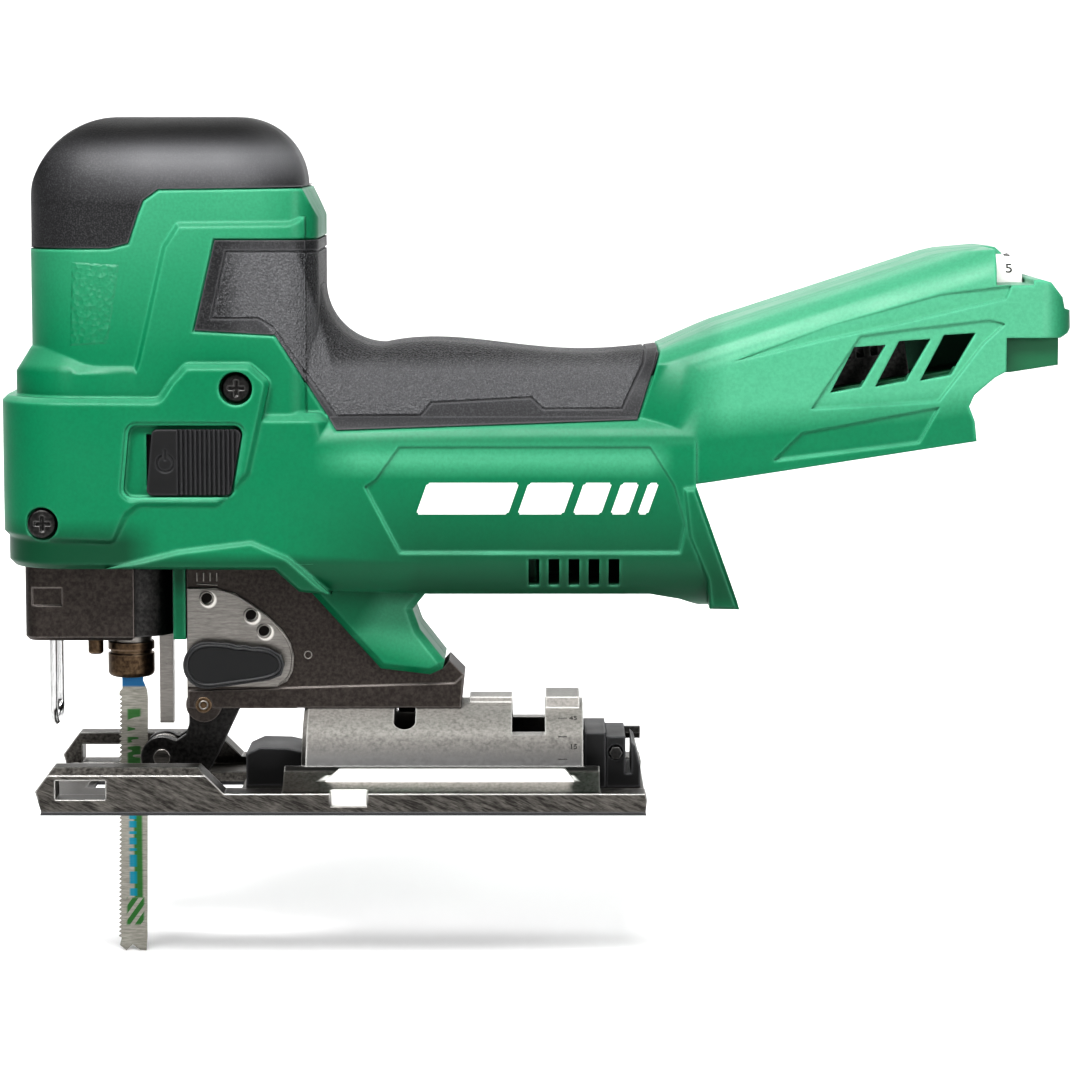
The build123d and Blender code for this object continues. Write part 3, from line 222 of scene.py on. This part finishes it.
def pale_tone(g, x, z, upward):
    """Mask of light painted on the tail, shoulder, crown, leg and upturned faces."""
    tail = g.times(g.field(TAIL_LIT, 0.0045), g.span(x, 0.157, 0.172, 0, 0.62))
    shoulder = g.times(g.span(z, 0.095, 0.1), g.span(z, 0.106, 0.1015),
                       g.span(x, 0.055, 0.068, 0, 0.5), g.span(x, 0.157, 0.15))
    crown = g.times(g.span(x, 0.06, 0.04), g.span(z, 0.13, 0.18, 0, 0.4))
    leg = g.times(g.field(LEG_LIT, 0.003), 0.35)
    return g.most(tail, shoulder, crown, leg, g.span(upward, 0.2, 0.7, 0, 0.42))


def green_moulding(name, colour, belly, glow, edge):
    """Shell green with painted shade along the belly, painted light on the tail, shoulder, crown,
    leg and upturned faces, upper edges lightened partly by rubbing and partly as a painted
    highlight, and a pebbled patch on the head.
    """
    g = Graph(name)
    x, z = g.axis("X"), g.axis("Z")
    # Z of a softened normal: faces and edges that turn upward get painted light.
    upward = g.node("SeparateXYZ", {0: g.soft_edges(0.0018)}).outputs["Z"]
    # Painted shade: belly, sill and chin darkened toward the belly colour.
    tone = g.mix(deep_tone(g, x, z), colour, belly)
    # Painted light: tail, shoulder, crown, leg and upturned faces lightened toward the glow colour.
    tone = g.mix(pale_tone(g, x, z, upward), tone, glow)
    speck = g.span(g.noise(1200, 2), 0.35, 0.7, 0.0, 0.14)
    tone = g.mix(speck, tone, belly)
    # Upper edges lightened toward the edge colour, partly by rubbing and partly as a painted
    # highlight; downward edges get less.
    rubbed_and_lit = g.span(g.noise(45, 3), 0.3, 0.7, 0.2, 0.55)
    rim = g.times(g.edge_mask(0.0018, 0.006, 0.14), rubbed_and_lit, g.span(upward, -0.35, 0.2, 0.15, 1.0))
    tone = g.mix(rim, tone, edge)
    marks = g.span(g.noise(60, 6), 0.3, 0.75, 0.34, 0.46)
    normal = g.bump(g.noise(900, 2), 0.25, GRAIN_DEPTH, g.soft_edges(0.0012))
    pebbles = g.times(g.voronoi(620), g.field(HEAD_PATCH))
    normal = g.bump(pebbles, 1.0, 0.0004, normal)
    return g.finish(tone, marks, normal, Specular_IOR_Level=0.3)


def pebble_field(g):
    """Mask of the pebbled field on the grip: two areas less the raised tab."""
    neck = g.field([(26.8, 140.3), (75, 140.3), (75, 158.9), (31, 158.9)])
    barrel = g.field([(61.6, 112.65), (142.1, 114.7), (149.1, 131.6), (149.1, 158.9),
                      (31, 158.9), (39.8, 140.9)])
    tab = g.field([(84, 111), (121, 111), (119.8, 114.6), (116.5, 117.8), (88.3, 116.4)])
    return g.times(g.most(neck, barrel), g.math("SUBTRACT", 1.0, tab))


def soft_rubber(name, tone, light, crown, grain=900, rough=0.42):
    """Elastomer skin: pebbled in the grip's field, with painted highlight bands on the cap's
    shoulder and just below the grip's top, painted shade on the crown, and lighter edges.
    """
    g = Graph(name)
    x, z = g.axis("X"), g.axis("Z")
    fine = g.noise(grain * 2.6, 3)
    pebbled = pebble_field(g)
    height = g.math("ADD", g.times(g.voronoi(grain * 1.7), pebbled, 2.2), g.times(fine, 0.5))
    # Painted highlight: lighter band round the cap's shoulder.
    shoulder = g.times(g.span(z, 0.172, 0.184), g.span(z, 0.1935, 0.188),
                       g.span(x, -0.022, 0.008), 0.7)
    top = g.span(g.span(x, 0.05, 0.06), 0, 1, 0.16, 0.1255)
    below_top = g.span(g.math("SUBTRACT", z, top), 0, 0.004, 0.42, 0)
    # Painted highlight: lighter band just below the top of the grip.
    saddle = g.times(g.span(x, 0.029, 0.036), below_top, g.span(pebbled, 0, 1, 0.4, 1.0))
    speck = g.span(g.noise(grain * 2.6, 2), 0.45, 0.75)
    colour = g.mix(shoulder, tone, light)
    colour = g.mix(saddle, colour, light)
    colour = g.mix(g.times(speck, g.span(pebbled, 0, 1, 0.25, 0.6)), colour, light)
    # Painted shade: the crown darkened toward the crown colour.
    colour = g.mix(g.span(z, 0.186, 0.1935), colour, crown)
    # Edges lightened partly by rubbing and partly as a painted highlight.
    colour = g.mix(g.times(g.edge_mask(0.0009), 0.4), colour, light)
    roughness = g.span(g.noise(30, 5), 0.3, 0.7, rough - 0.07, rough + 0.08)
    normal = g.bump(height, 0.8, 0.00022, g.soft_edges(0.0006))
    return g.finish(colour, roughness, normal, Specular_IOR_Level=0.15)


def cast_metal(name, dark, light, rough=0.42, edge_lightening=0.6):
    """Cast or blasted metal with a fine even skin and edges lightened partly by rubbing and partly
    as a painted highlight.
    """
    g = Graph(name)
    speckle = g.noise(900, 3, 0.6)
    colour = g.mix(g.span(speckle, 0.35, 0.65), dark, light)
    colour = g.mix(g.times(g.span(g.noise(9, 3), 0.4, 0.75), 0.2), colour, dark)
    # Lighter edge colour, for rubbing and a painted highlight.
    rubbed_and_lit = tuple(min(1.0, c * 2.2 + 0.08) for c in light[:3]) + (1.0,)
    colour = g.mix(g.times(g.edge_mask(0.0008), edge_lightening), colour, rubbed_and_lit)
    roughness = g.span(speckle, 0.2, 0.8, rough - 0.05, rough + 0.08)
    normal = g.bump(speckle, 0.3, GRAIN_DEPTH, g.soft_edges(0.0005))
    return g.finish(colour, roughness, normal, 1.0)


def milled_casting(name, dark, light, crest, foot_shade, bright):
    """Cast foot with slanting cutter marks on its sides, painted light on the barrel's top and the
    slope, painted shade on the barrel's lower part, and bright machined faces that also carry a
    painted highlight.
    """
    g = Graph(name)
    height = g.axis("Z")
    side = g.math("ABSOLUTE", g.axis("Y"))
    speckle = g.noise(1000, 3, 0.6)
    cuts = g.noise(230, 4, 0.7, vector=g.rotated(-0.4), stretch=(1, 1, 7))
    flank = g.times(g.math("GREATER_THAN", side, 0.0364), g.math("LESS_THAN", height, 0.0136))
    grain = g.mix(flank, g.span(speckle, 0.3, 0.7), g.span(cuts, 0.38, 0.66))
    colour = g.mix(grain, dark, light)
    barrel = g.times(g.field([(46, 11), (140, 11), (140, 30), (46, 30)]),
                     g.math("LESS_THAN", side, 0.029))
    crown = g.times(barrel, g.span(height, 0.0145, 0.021))
    foot = g.times(barrel, g.span(height, 0.0205, 0.0135))
    slope = g.times(g.field([(46, 6.6), (140, 6.6), (136, 12), (46, 12)]),
                    g.math("GREATER_THAN", side, 0.0255), g.math("LESS_THAN", side, 0.0364))
    # Painted light: barrel top and slope lifted toward the crest colour.
    lift = g.times(g.most(crown, slope), g.span(speckle, 0.3, 0.65, 0.55, 1.0))
    colour = g.mix(lift, colour, crest)
    # Painted shade: lower part of the barrel darkened toward the foot colour.
    colour = g.mix(foot, colour, foot_shade)
    bar = g.times(g.field([(56, 9.0), (130, 9.0), (126, 12.5), (62, 12.5)]),
                  g.math("GREATER_THAN", side, 0.0290))
    notch = g.times(g.field([(59.9, 2.6), (69.9, 2.6), (69.9, 9), (59.9, 9)]),
                    g.math("GREATER_THAN", side, 0.0350))
    milled = g.most(bar, notch)
    # Painted highlight on edges, stronger higher up.
    edge = g.times(g.edge_mask(0.0009), g.span(height, 0.003, 0.0055, 0.05, 0.62))
    colour = g.mix(edge, colour, bright)
    # Machined bar and notch: bare metal, painted brighter as a highlight.
    colour = g.mix(milled, colour, bright)
    roughness = g.span(speckle, 0.2, 0.8, 0.36, 0.5)
    metallic = g.math("SUBTRACT", 1.0, g.times(g.most(milled, barrel), 0.7))
    relief = g.math("ADD", speckle, g.times(flank, cuts))
    normal = g.bump(relief, 0.35, SCRATCH_DEPTH, g.soft_edges(0.0006))
    return g.finish(colour, roughness, normal, metallic)


def brushed(name, dark, light, stretch, rough=0.32):
    """Ground metal with scratches along one direction."""
    g = Graph(name)
    lines = g.noise(260, 5, 0.7, stretch=stretch)
    colour = g.mix(g.span(lines, 0.3, 0.7), dark, light)
    # Edges lightened partly by rubbing and partly as a painted highlight.
    rubbed_and_lit = tuple(min(1.0, c * 1.6 + 0.05) for c in light[:3]) + (1.0,)
    colour = g.mix(g.times(g.edge_mask(0.0006), 0.5), colour, rubbed_and_lit)
    roughness = g.span(lines, 0.25, 0.75, rough - 0.08, rough + 0.12)
    normal = g.bump(lines, 0.3, SCRATCH_DEPTH, g.soft_edges(0.0004))
    return g.finish(colour, roughness, normal, 1.0)


def disc_mask(g, x, z, radius):
    """One inside a disc of the XZ plane, with a soft rim."""
    flat = g.node("VectorMath", {0: g.coords, 1: (1, 0, 1)}, operation="MULTIPLY")
    gap = g.node("VectorMath", {0: flat.outputs[0], 1: (x, 0, z)}, operation="DISTANCE")
    return g.span(gap.outputs["Value"], radius, radius - 0.0005)


def dimpled_plate(name, dark, light, lit, shaded):
    """Ground selector plate with pressed detents, each with a lit rim and a shaded bottom."""
    g = Graph(name)
    lines = g.noise(260, 5, 0.7, stretch=(1, 1, 9))
    colour = g.mix(g.span(lines, 0.3, 0.7), dark, light)
    for x, z in detent_centres():
        rim = disc_mask(g, x * MM + 0.0004, z * MM - 0.0004, 0.0026)
        bottom = disc_mask(g, x * MM - 0.0003, z * MM + 0.0003, 0.0021)
        colour = g.mix(rim, colour, lit)
        colour = g.mix(bottom, colour, shaded)
    roughness = g.span(lines, 0.25, 0.75, 0.26, 0.42)
    normal = g.bump(lines, 0.3, SCRATCH_DEPTH, g.soft_edges(0.0004))
    return g.finish(colour, roughness, normal, 1.0)


def printed_blade(name, dark, light):
    """Ground blade with a painted neck and plain bands of print down its side."""
    g = Graph(name)
    ink_green = rgb(40, 104, 44)
    ink_blue = rgb(20, 128, 150)
    paint = rgb(24, 104, 150)
    lines = g.noise(260, 5, 0.7, stretch=(1, 1, 10))
    upper = g.field([(-1.5, 3), (2.3, 3), (2.5, 25), (-1.3, 25)])
    dashes = g.math("GREATER_THAN", g.noise(90, 1, 0.5, stretch=(0.8, 0.1, 4)), 0.5)
    band = g.field([(0.2, -31), (2.6, -31), (2.6, 0), (0.2, 0)])
    column = g.field([(-1.2, -31), (0.9, -31), (0.9, 0), (-1.2, 0)])
    ticks = g.math("GREATER_THAN", g.noise(120, 0, 0.5, stretch=(0.1, 0.1, 5)), 0.46)
    slope = g.math("SUBTRACT", g.axis("Z"), g.times(g.axis("X"), 1.4))
    wave = g.math("GREATER_THAN", g.math("FRACT", g.times(slope, 230)), 0.45)
    stripes = g.times(wave, g.field([(-2.2, -39), (2.8, -39), (3, -31), (-2, -31)]))
    neck = g.field([(-5, 31.6), (6, 31.6), (6, 50), (-5, 50)])
    colour = g.mix(g.span(lines, 0.3, 0.7), dark, light)
    colour = g.mix(g.times(upper, dashes, 0.85), colour, ink_green)
    colour = g.mix(g.times(band, 0.9), colour, ink_green)
    colour = g.mix(g.times(column, ticks, 0.9), colour, ink_blue)
    colour = g.mix(g.times(stripes, 0.9), colour, ink_green)
    colour = g.mix(neck, colour, paint)
    roughness = g.span(lines, 0.25, 0.75, 0.3, 0.48)
    normal = g.bump(lines, 0.3, SCRATCH_DEPTH, g.soft_edges(0.0002))
    metallic = g.math("SUBTRACT", 0.9, g.times(neck, 0.7))
    return g.finish(colour, roughness, normal, metallic)


MATERIALS = {
    # green_shell: base green, belly colour of painted shade, glow colour of painted light, edge
    # colour for rubbed edges and painted highlights.
    "green_shell": green_moulding("green_shell", rgb(0, 102, 70), rgb(0, 54, 33),
                                  rgb(92, 160, 130), rgb(96, 186, 150)),
    "dark_green": moulded("dark_green", rgb(8, 92, 58), rgb(6, 76, 48), 0.45),
    # soft_black: base, a light colour for speckles and painted highlights, and a crown colour of
    # painted shade.
    "soft_black": soft_rubber("soft_black", rgb(36, 36, 37), rgb(108, 108, 110), rgb(12, 12, 12)),
    # slider and black_plastic: their edge colours lighten edges by rubbing and as a painted
    # highlight.
    "slider": moulded("slider", rgb(8, 8, 9), rgb(4, 4, 5), 0.46, 1200, edge=rgb(60, 60, 62)),
    "black_plastic": moulded("black_plastic", rgb(16, 16, 17), rgb(10, 10, 11), 0.42, 1200,
                             edge=rgb(90, 90, 92)),
    "dark_casting": cast_metal("dark_casting", rgb(58, 54, 52), rgb(76, 71, 68), 0.42, edge_lightening=0.7),
    # aluminium_casting: grain colours, crest colour of painted light, foot colour of painted shade,
    # and a bright colour for machined faces and painted highlights.
    "aluminium_casting": milled_casting("aluminium_casting", rgb(58, 56, 54), rgb(108, 105, 101),
                                        rgb(156, 153, 149), rgb(44, 43, 42),
                                        rgb(226, 225, 222)),
    "steel": brushed("steel", rgb(112, 109, 106), rgb(140, 137, 133), (1, 1, 9)),
    "detent_plate": dimpled_plate("detent_plate", rgb(112, 109, 106), rgb(146, 143, 139),
                                  rgb(214, 211, 206), rgb(34, 32, 31)),
    "dark_steel": cast_metal("dark_steel", rgb(44, 43, 43), rgb(64, 63, 62), 0.4),
    "chrome": brushed("chrome", rgb(150, 150, 150), rgb(215, 215, 215), (8, 8, 1), 0.14),
    "bronze": cast_metal("bronze", rgb(64, 53, 43), rgb(98, 83, 67), 0.35),
    "blade_steel": printed_blade("blade_steel", rgb(120, 118, 112), rgb(168, 166, 158)),
    "copper": brushed("copper", rgb(150, 80, 45), rgb(205, 125, 80), (12, 1, 1), 0.35),
    "white_plastic": moulded("white_plastic", rgb(232, 232, 228), rgb(220, 220, 216), 0.4),
    "magnet": cast_metal("magnet", rgb(60, 60, 64), rgb(96, 96, 100), 0.5),
}

SLOT_OF = {entry["node"]: entry["material_slot"] for entry in frame["record"]["subparts"]}
JOIN_DISTANCE = 1e-6       # corners closer than this are one corner, m
SMOOTH_BELOW = 32          # edges bent less than this are shaded smooth, degrees


def smoothing_group():
    """Geometry nodes that join split corners and shade smooth up to an edge angle."""
    group = bpy.data.node_groups.new("smooth_by_angle", "GeometryNodeTree")
    group.interface.new_socket("Geometry", in_out="INPUT", socket_type="NodeSocketGeometry")
    group.interface.new_socket("Geometry", in_out="OUTPUT", socket_type="NodeSocketGeometry")
    make = group.nodes.new
    start = make("NodeGroupInput")
    join = make("GeometryNodeMergeByDistance")
    join.inputs["Distance"].default_value = JOIN_DISTANCE
    soften = make("GeometryNodeSetShadeSmooth")
    soften.domain = "EDGE"
    faces = make("GeometryNodeSetShadeSmooth")
    faces.domain = "FACE"
    angle = make("GeometryNodeInputMeshEdgeAngle")
    limit = make("ShaderNodeMath")
    limit.operation = "LESS_THAN"
    limit.inputs[1].default_value = math.radians(SMOOTH_BELOW)
    end = make("NodeGroupOutput")
    link = group.links.new
    link(start.outputs[0], join.inputs["Geometry"])
    link(join.outputs["Geometry"], faces.inputs["Geometry"])
    link(faces.outputs["Geometry"], soften.inputs["Geometry"])
    link(angle.outputs["Unsigned Angle"], limit.inputs[0])
    link(limit.outputs[0], soften.inputs["Shade Smooth"])
    link(soften.outputs["Geometry"], end.inputs[0])
    return group


SMOOTHING = smoothing_group()


def look_of(name):
    """Material of a CAD node: its own, the slider family's, or its record slot's."""
    if name in MATERIALS:
        return MATERIALS[name]
    if name.startswith("slider"):
        return MATERIALS["slider"]
    return MATERIALS[SLOT_OF[name]]


def dress(obj, material):
    """Gives a CAD object one material and clean smooth shading."""
    obj.data.materials.clear()
    obj.data.materials.append(material)
    if "custom_normal" in obj.data.attributes:
        obj.data.attributes.remove(obj.data.attributes["custom_normal"])
    smooth = obj.modifiers.new("smooth_by_angle", "NODES")
    smooth.node_group = SMOOTHING
    weigh = obj.modifiers.new("weigh_normals", "WEIGHTED_NORMAL")
    weigh.keep_sharp = True


for name, obj in NODES.items():
    dress(obj, look_of(name))


# ------------------------------------------------------------- fine details
# Y of near-side faces, half widths and radii, all in mm
LEVER_FACE = -13.2
DETENT_FACE = -9.8
DETENT_EDGE_Y = -9.65      # lowered so that it clears the lever as it turns
SOCKET_FACE = -10.0
BRACKET_FACE = -9.0
FLANK_FLOOR = 31.2
DIAL_X, DIAL_Z, DIAL_R = 253.1, 146.3, 11.0
BARREL_R = 28.0


def settle(obj, body, slot):
    """Links a piece, lets it ride on a body and gives it a record material."""
    bpy.context.scene.collection.objects.link(obj)
    obj.data.materials.append(MATERIALS[slot])
    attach(obj, body)
    return obj


def arc(centre, radius, start, end, count, y):
    """Points in mm round a centre in the XZ plane, angles in degrees."""
    points = []
    for i in range(count + 1):
        angle = math.radians(start + (end - start) * i / count)
        points.append((centre[0] + radius * math.cos(angle), y,
                       centre[1] + radius * math.sin(angle)))
    return points


def bead(name, lines, radius, body, slot, closed=True):
    """Raised round line, or several, along control points in mm."""
    curve = bpy.data.curves.new(name, "CURVE")
    curve.dimensions = "3D"
    curve.bevel_depth = radius * MM
    curve.bevel_resolution = 3
    curve.resolution_u = 8
    curve.use_fill_caps = True
    for points in lines:
        spline = curve.splines.new("NURBS")
        spline.points.add(len(points) - 1)
        for point, (x, y, z) in zip(spline.points, points):
            point.co = (x * MM, y * MM, z * MM, 1.0)
        spline.order_u = 3
        spline.use_cyclic_u = closed
        spline.use_endpoint_u = not closed
    return settle(bpy.data.objects.new(name, curve), body, slot)


def ring(centre, radius, y):
    """Control points of a ring in the XZ plane."""
    return arc(centre, radius, 0, 330, 11, y)


def lettering(name, text, height, place, body, slot):
    """Generic digits, standing slightly proud of the surface they are on."""
    curve = bpy.data.curves.new(name, "FONT")
    curve.body = text
    curve.size = height * MM
    curve.extrude = 0.00008
    curve.align_x = "CENTER"
    curve.align_y = "CENTER"
    obj = bpy.data.objects.new(name, curve)
    obj.matrix_world = place
    return settle(obj, body, slot)


def round_x(x, z, radius, angle):
    """Place on a drum along X, facing outward; angle in degrees from the top to the near side."""
    turn = math.radians(angle)
    out = Vector((0, -math.sin(turn), math.cos(turn)))
    up = Vector((0, math.cos(turn), math.sin(turn)))
    across = up.cross(out)
    place = Matrix((across, up, out)).transposed().to_4x4()
    place.translation = Vector((x, 0, z)) * MM + out * (radius * MM)
    return place


def selector_marks():
    """Raised rim of the selector lever, detent rims and the marks on the bracket."""
    hub = arc(LEVER_HUB, 5.9, 90, 270, 6, LEVER_FACE)
    tail = [(30, LEVER_FACE, 34.6), (40, LEVER_FACE, 35.9), (43.6, LEVER_FACE, 37.4),
            (44.5, LEVER_FACE, 39.6), (43.4, LEVER_FACE, 42.0), (41, LEVER_FACE, 43.5),
            (38, LEVER_FACE, 44.0), (36, LEVER_FACE, 43.8), (34, LEVER_FACE, 44.5),
            (32, LEVER_FACE, 44.2), (29, LEVER_FACE, 45.1)]
    bead("lever_rim", [hub + tail], 0.55, "selector", "black_plastic")
    dimples = [ring(centre, 1.9, DETENT_FACE) for centre in detent_centres()]
    bead("detent_rims", dimples, 0.28, "case", "steel")
    edge = [(17.6, 61.2), (25.4, 61.2), (31, 59.6), (35.6, 56.7), (40.2, 53.2), (44.2, 49.2),
            (46.6, 45.5), (47.6, 41.6), (47.2, 37.5), (45.7, 34.7), (43.5, 33.4)]
    bead("detent_edge", [[(x, DETENT_EDGE_Y, z) for x, z in edge]], 0.32, "case", "steel", False)
    strokes = []
    for i in range(4):
        x = 20.1 + 1.9 * i
        strokes.append([(x, BRACKET_FACE, 65.9), (x, BRACKET_FACE, 64.6), (x, BRACKET_FACE, 63.4)])
    strokes.append([(20, BRACKET_FACE, 62.6), (23, BRACKET_FACE, 62.5), (26, BRACKET_FACE, 62.3)])
    bead("bracket_marks", strokes, 0.22, "case", "steel", False)
    bead("zero_mark", [ring((52, 42), 1.1, BRACKET_FACE)], 0.2, "case", "steel")
    bead("pin_socket", [arc((21.75, 27.5), 1.35, 0, 300, 5, SOCKET_FACE)], 0.25, "case", "steel")


def dial_digits():
    """Speed numbers round the dial, with the five turned toward the near side."""
    five_at, step = 50, 40
    for digit in range(1, 7):
        place = round_x(DIAL_X, DIAL_Z, DIAL_R, five_at - step * (digit - 5))
        lettering(f"dial_digit_{digit}", str(digit), 4.6, place, "dial", "black_plastic")


def bevel_scale():
    """Tilt marks round the rear of the barrel."""
    marks = []
    for step in range(-4, 5):
        if abs(step) < 2:
            continue
        spot = round_x(125.5, 0, BARREL_R, 15 * step)
        ends = [spot @ Vector((0.0012 * k, 0, 0)) for k in (-1, 0, 1)]
        marks.append([tuple(v / MM for v in end) for end in ends])
    bead("scale_marks", marks, 0.16, "base", "dark_steel", False)
    for text, angle in (("45", 30), ("45", -30), ("15", 52), ("15", -52)):
        side = "near" if angle > 0 else "far"
        lettering(f"scale_{text}_{side}", text, 2.3, round_x(128.6, 0, BARREL_R, angle), "base",
                  "dark_steel")


def flank_stripes():
    """Plain slanted bars printed on both flank panels."""
    widths = (26, 13, 8, 5, 3)
    front, low, high, slant, gap = 84.0, 85.0, 94.0, 3.2, 2.6
    thick, corner = 0.15, 0.6
    for side, name in ((-1, "near"), (1, "far")):
        mesh = bpy.data.meshes.new(f"flank_stripes_{name}")
        bm = bmesh.new()
        x = front
        for width in widths:
            corners = [(x, low), (x + width, low), (x + width + slant, high), (x + slant, high)]
            rings = []
            for depth in (FLANK_FLOOR, FLANK_FLOOR + thick):
                rings.append([bm.verts.new((cx * MM, side * depth * MM, cz * MM))
                              for cx, cz in corners])
            bm.faces.new(rings[1])
            bm.faces.new(rings[0][::-1])
            for i in range(4):
                j = (i + 1) % 4
                bm.faces.new((rings[0][i], rings[0][j], rings[1][j], rings[1][i]))
            x += width + gap
        bmesh.ops.recalc_face_normals(bm, faces=bm.faces)
        upright = [edge for edge in bm.edges
                   if abs(edge.verts[0].co.y - edge.verts[1].co.y) > JOIN_DISTANCE]
        bmesh.ops.bevel(bm, geom=upright, offset=corner * MM, segments=3, affect="EDGES")
        bm.to_mesh(mesh)
        bm.free()
        settle(bpy.data.objects.new(f"flank_stripes_{name}", mesh), "case", "white_plastic")


selector_marks()
dial_digits()
bevel_scale()
flank_stripes()


# ---------------------------------------------------------------------- stage
FLOOR_Z = CAD_BOX[0].z
WORLD_STRENGTH = 0.07
CAMERA_LENS = 126.98       # mm, on a sensor 36 mm wide
CAMERA_PLACE = (0.11901, -1.1, 0.19281)
CAMERA_DIP = 6.143         # how far it looks down, degrees


def studio_sweep():
    """Pale floor that curves up into the backdrop."""
    near, bend_at, bend, top, half_width = -3.0, 1.6, 1.2, 5.0, 6
    mesh = bpy.data.meshes.new("studio_sweep")
    bm = bmesh.new()
    profile = [(near, 0.0), (bend_at, 0.0)]
    for i in range(1, 13):
        angle = math.radians(90 * i / 12)
        profile.append((bend_at + bend * math.sin(angle), bend - bend * math.cos(angle)))
    profile.append((bend_at + bend, top))
    rows = []
    for y, z in profile:
        rows.append([bm.verts.new((x, y, FLOOR_Z + z)) for x in (-half_width, half_width)])
    for low, high in zip(rows, rows[1:]):
        face = bm.faces.new((low[0], low[1], high[1], high[0]))
        face.smooth = True
    bm.to_mesh(mesh)
    bm.free()
    sweep = bpy.data.objects.new("studio_sweep", mesh)
    bpy.context.scene.collection.objects.link(sweep)
    g = Graph("studio_paper")
    tone = g.span(g.noise(3, 2), 0.3, 0.7, 0.93, 0.95)
    colour = g.node("CombineColor", {0: tone, 1: tone, 2: tone}).outputs[0]
    sweep.data.materials.append(g.finish(colour, 0.9))


def area_light(name, place, target, size, power):
    """Soft rectangular light aimed at a point."""
    data = bpy.data.lights.new(name, "AREA")
    data.shape = "RECTANGLE"
    data.size, data.size_y = size
    data.energy = power
    light = bpy.data.objects.new(name, data)
    light.location = place
    aim = (Vector(target) - Vector(place)).to_track_quat("-Z", "Y")
    light.rotation_mode = "QUATERNION"
    light.rotation_quaternion = aim
    bpy.context.scene.collection.objects.link(light)


def studio():
    """Floor, lights, world and the view's tone curve."""
    studio_sweep()
    middle = (0.11, 0.0, 0.09)
    area_light("key_top", (-0.1, -0.62, 0.72), middle, (0.7, 0.25), 10)
    area_light("back_floor", (0.2, 0.6, 1.1), (0.11, 0.15, -0.05), (2.4, 0.9), 13)
    area_light("front_fill", (-0.45, -0.9, 0.5), middle, (0.4, 0.5), 1.5)
    area_light("tail_glow", (0.62, -0.85, 0.3), (0.225, -0.02, 0.12), (0.3, 0.3), 3.2)
    area_light("backdrop_wash", (0.1, 0.9, 1.5), (0.1, 2.6, 0.5), (3.0, 1.0), 38)
    world = bpy.data.worlds.new("studio_world")
    world.use_nodes = True
    background = world.node_tree.nodes["Background"]
    background.inputs["Color"].default_value = (1, 1, 1, 1)
    background.inputs["Strength"].default_value = WORLD_STRENGTH
    bpy.context.scene.world = world
    bpy.context.scene.view_settings.view_transform = "Standard"
    bpy.context.scene.view_settings.look = "High Contrast"


def camera():
    """Camera square to the tool's left-hand side, a little above it."""
    data = bpy.data.cameras.new("camera")
    data.lens = CAMERA_LENS
    data.sensor_width = 36
    data.clip_end = 50
    cam = bpy.data.objects.new("camera", data)
    cam.location = CAMERA_PLACE
    cam.rotation_euler = (math.radians(90 - CAMERA_DIP), 0, 0)
    bpy.context.scene.collection.objects.link(cam)
    bpy.context.scene.camera = cam


studio()
camera()
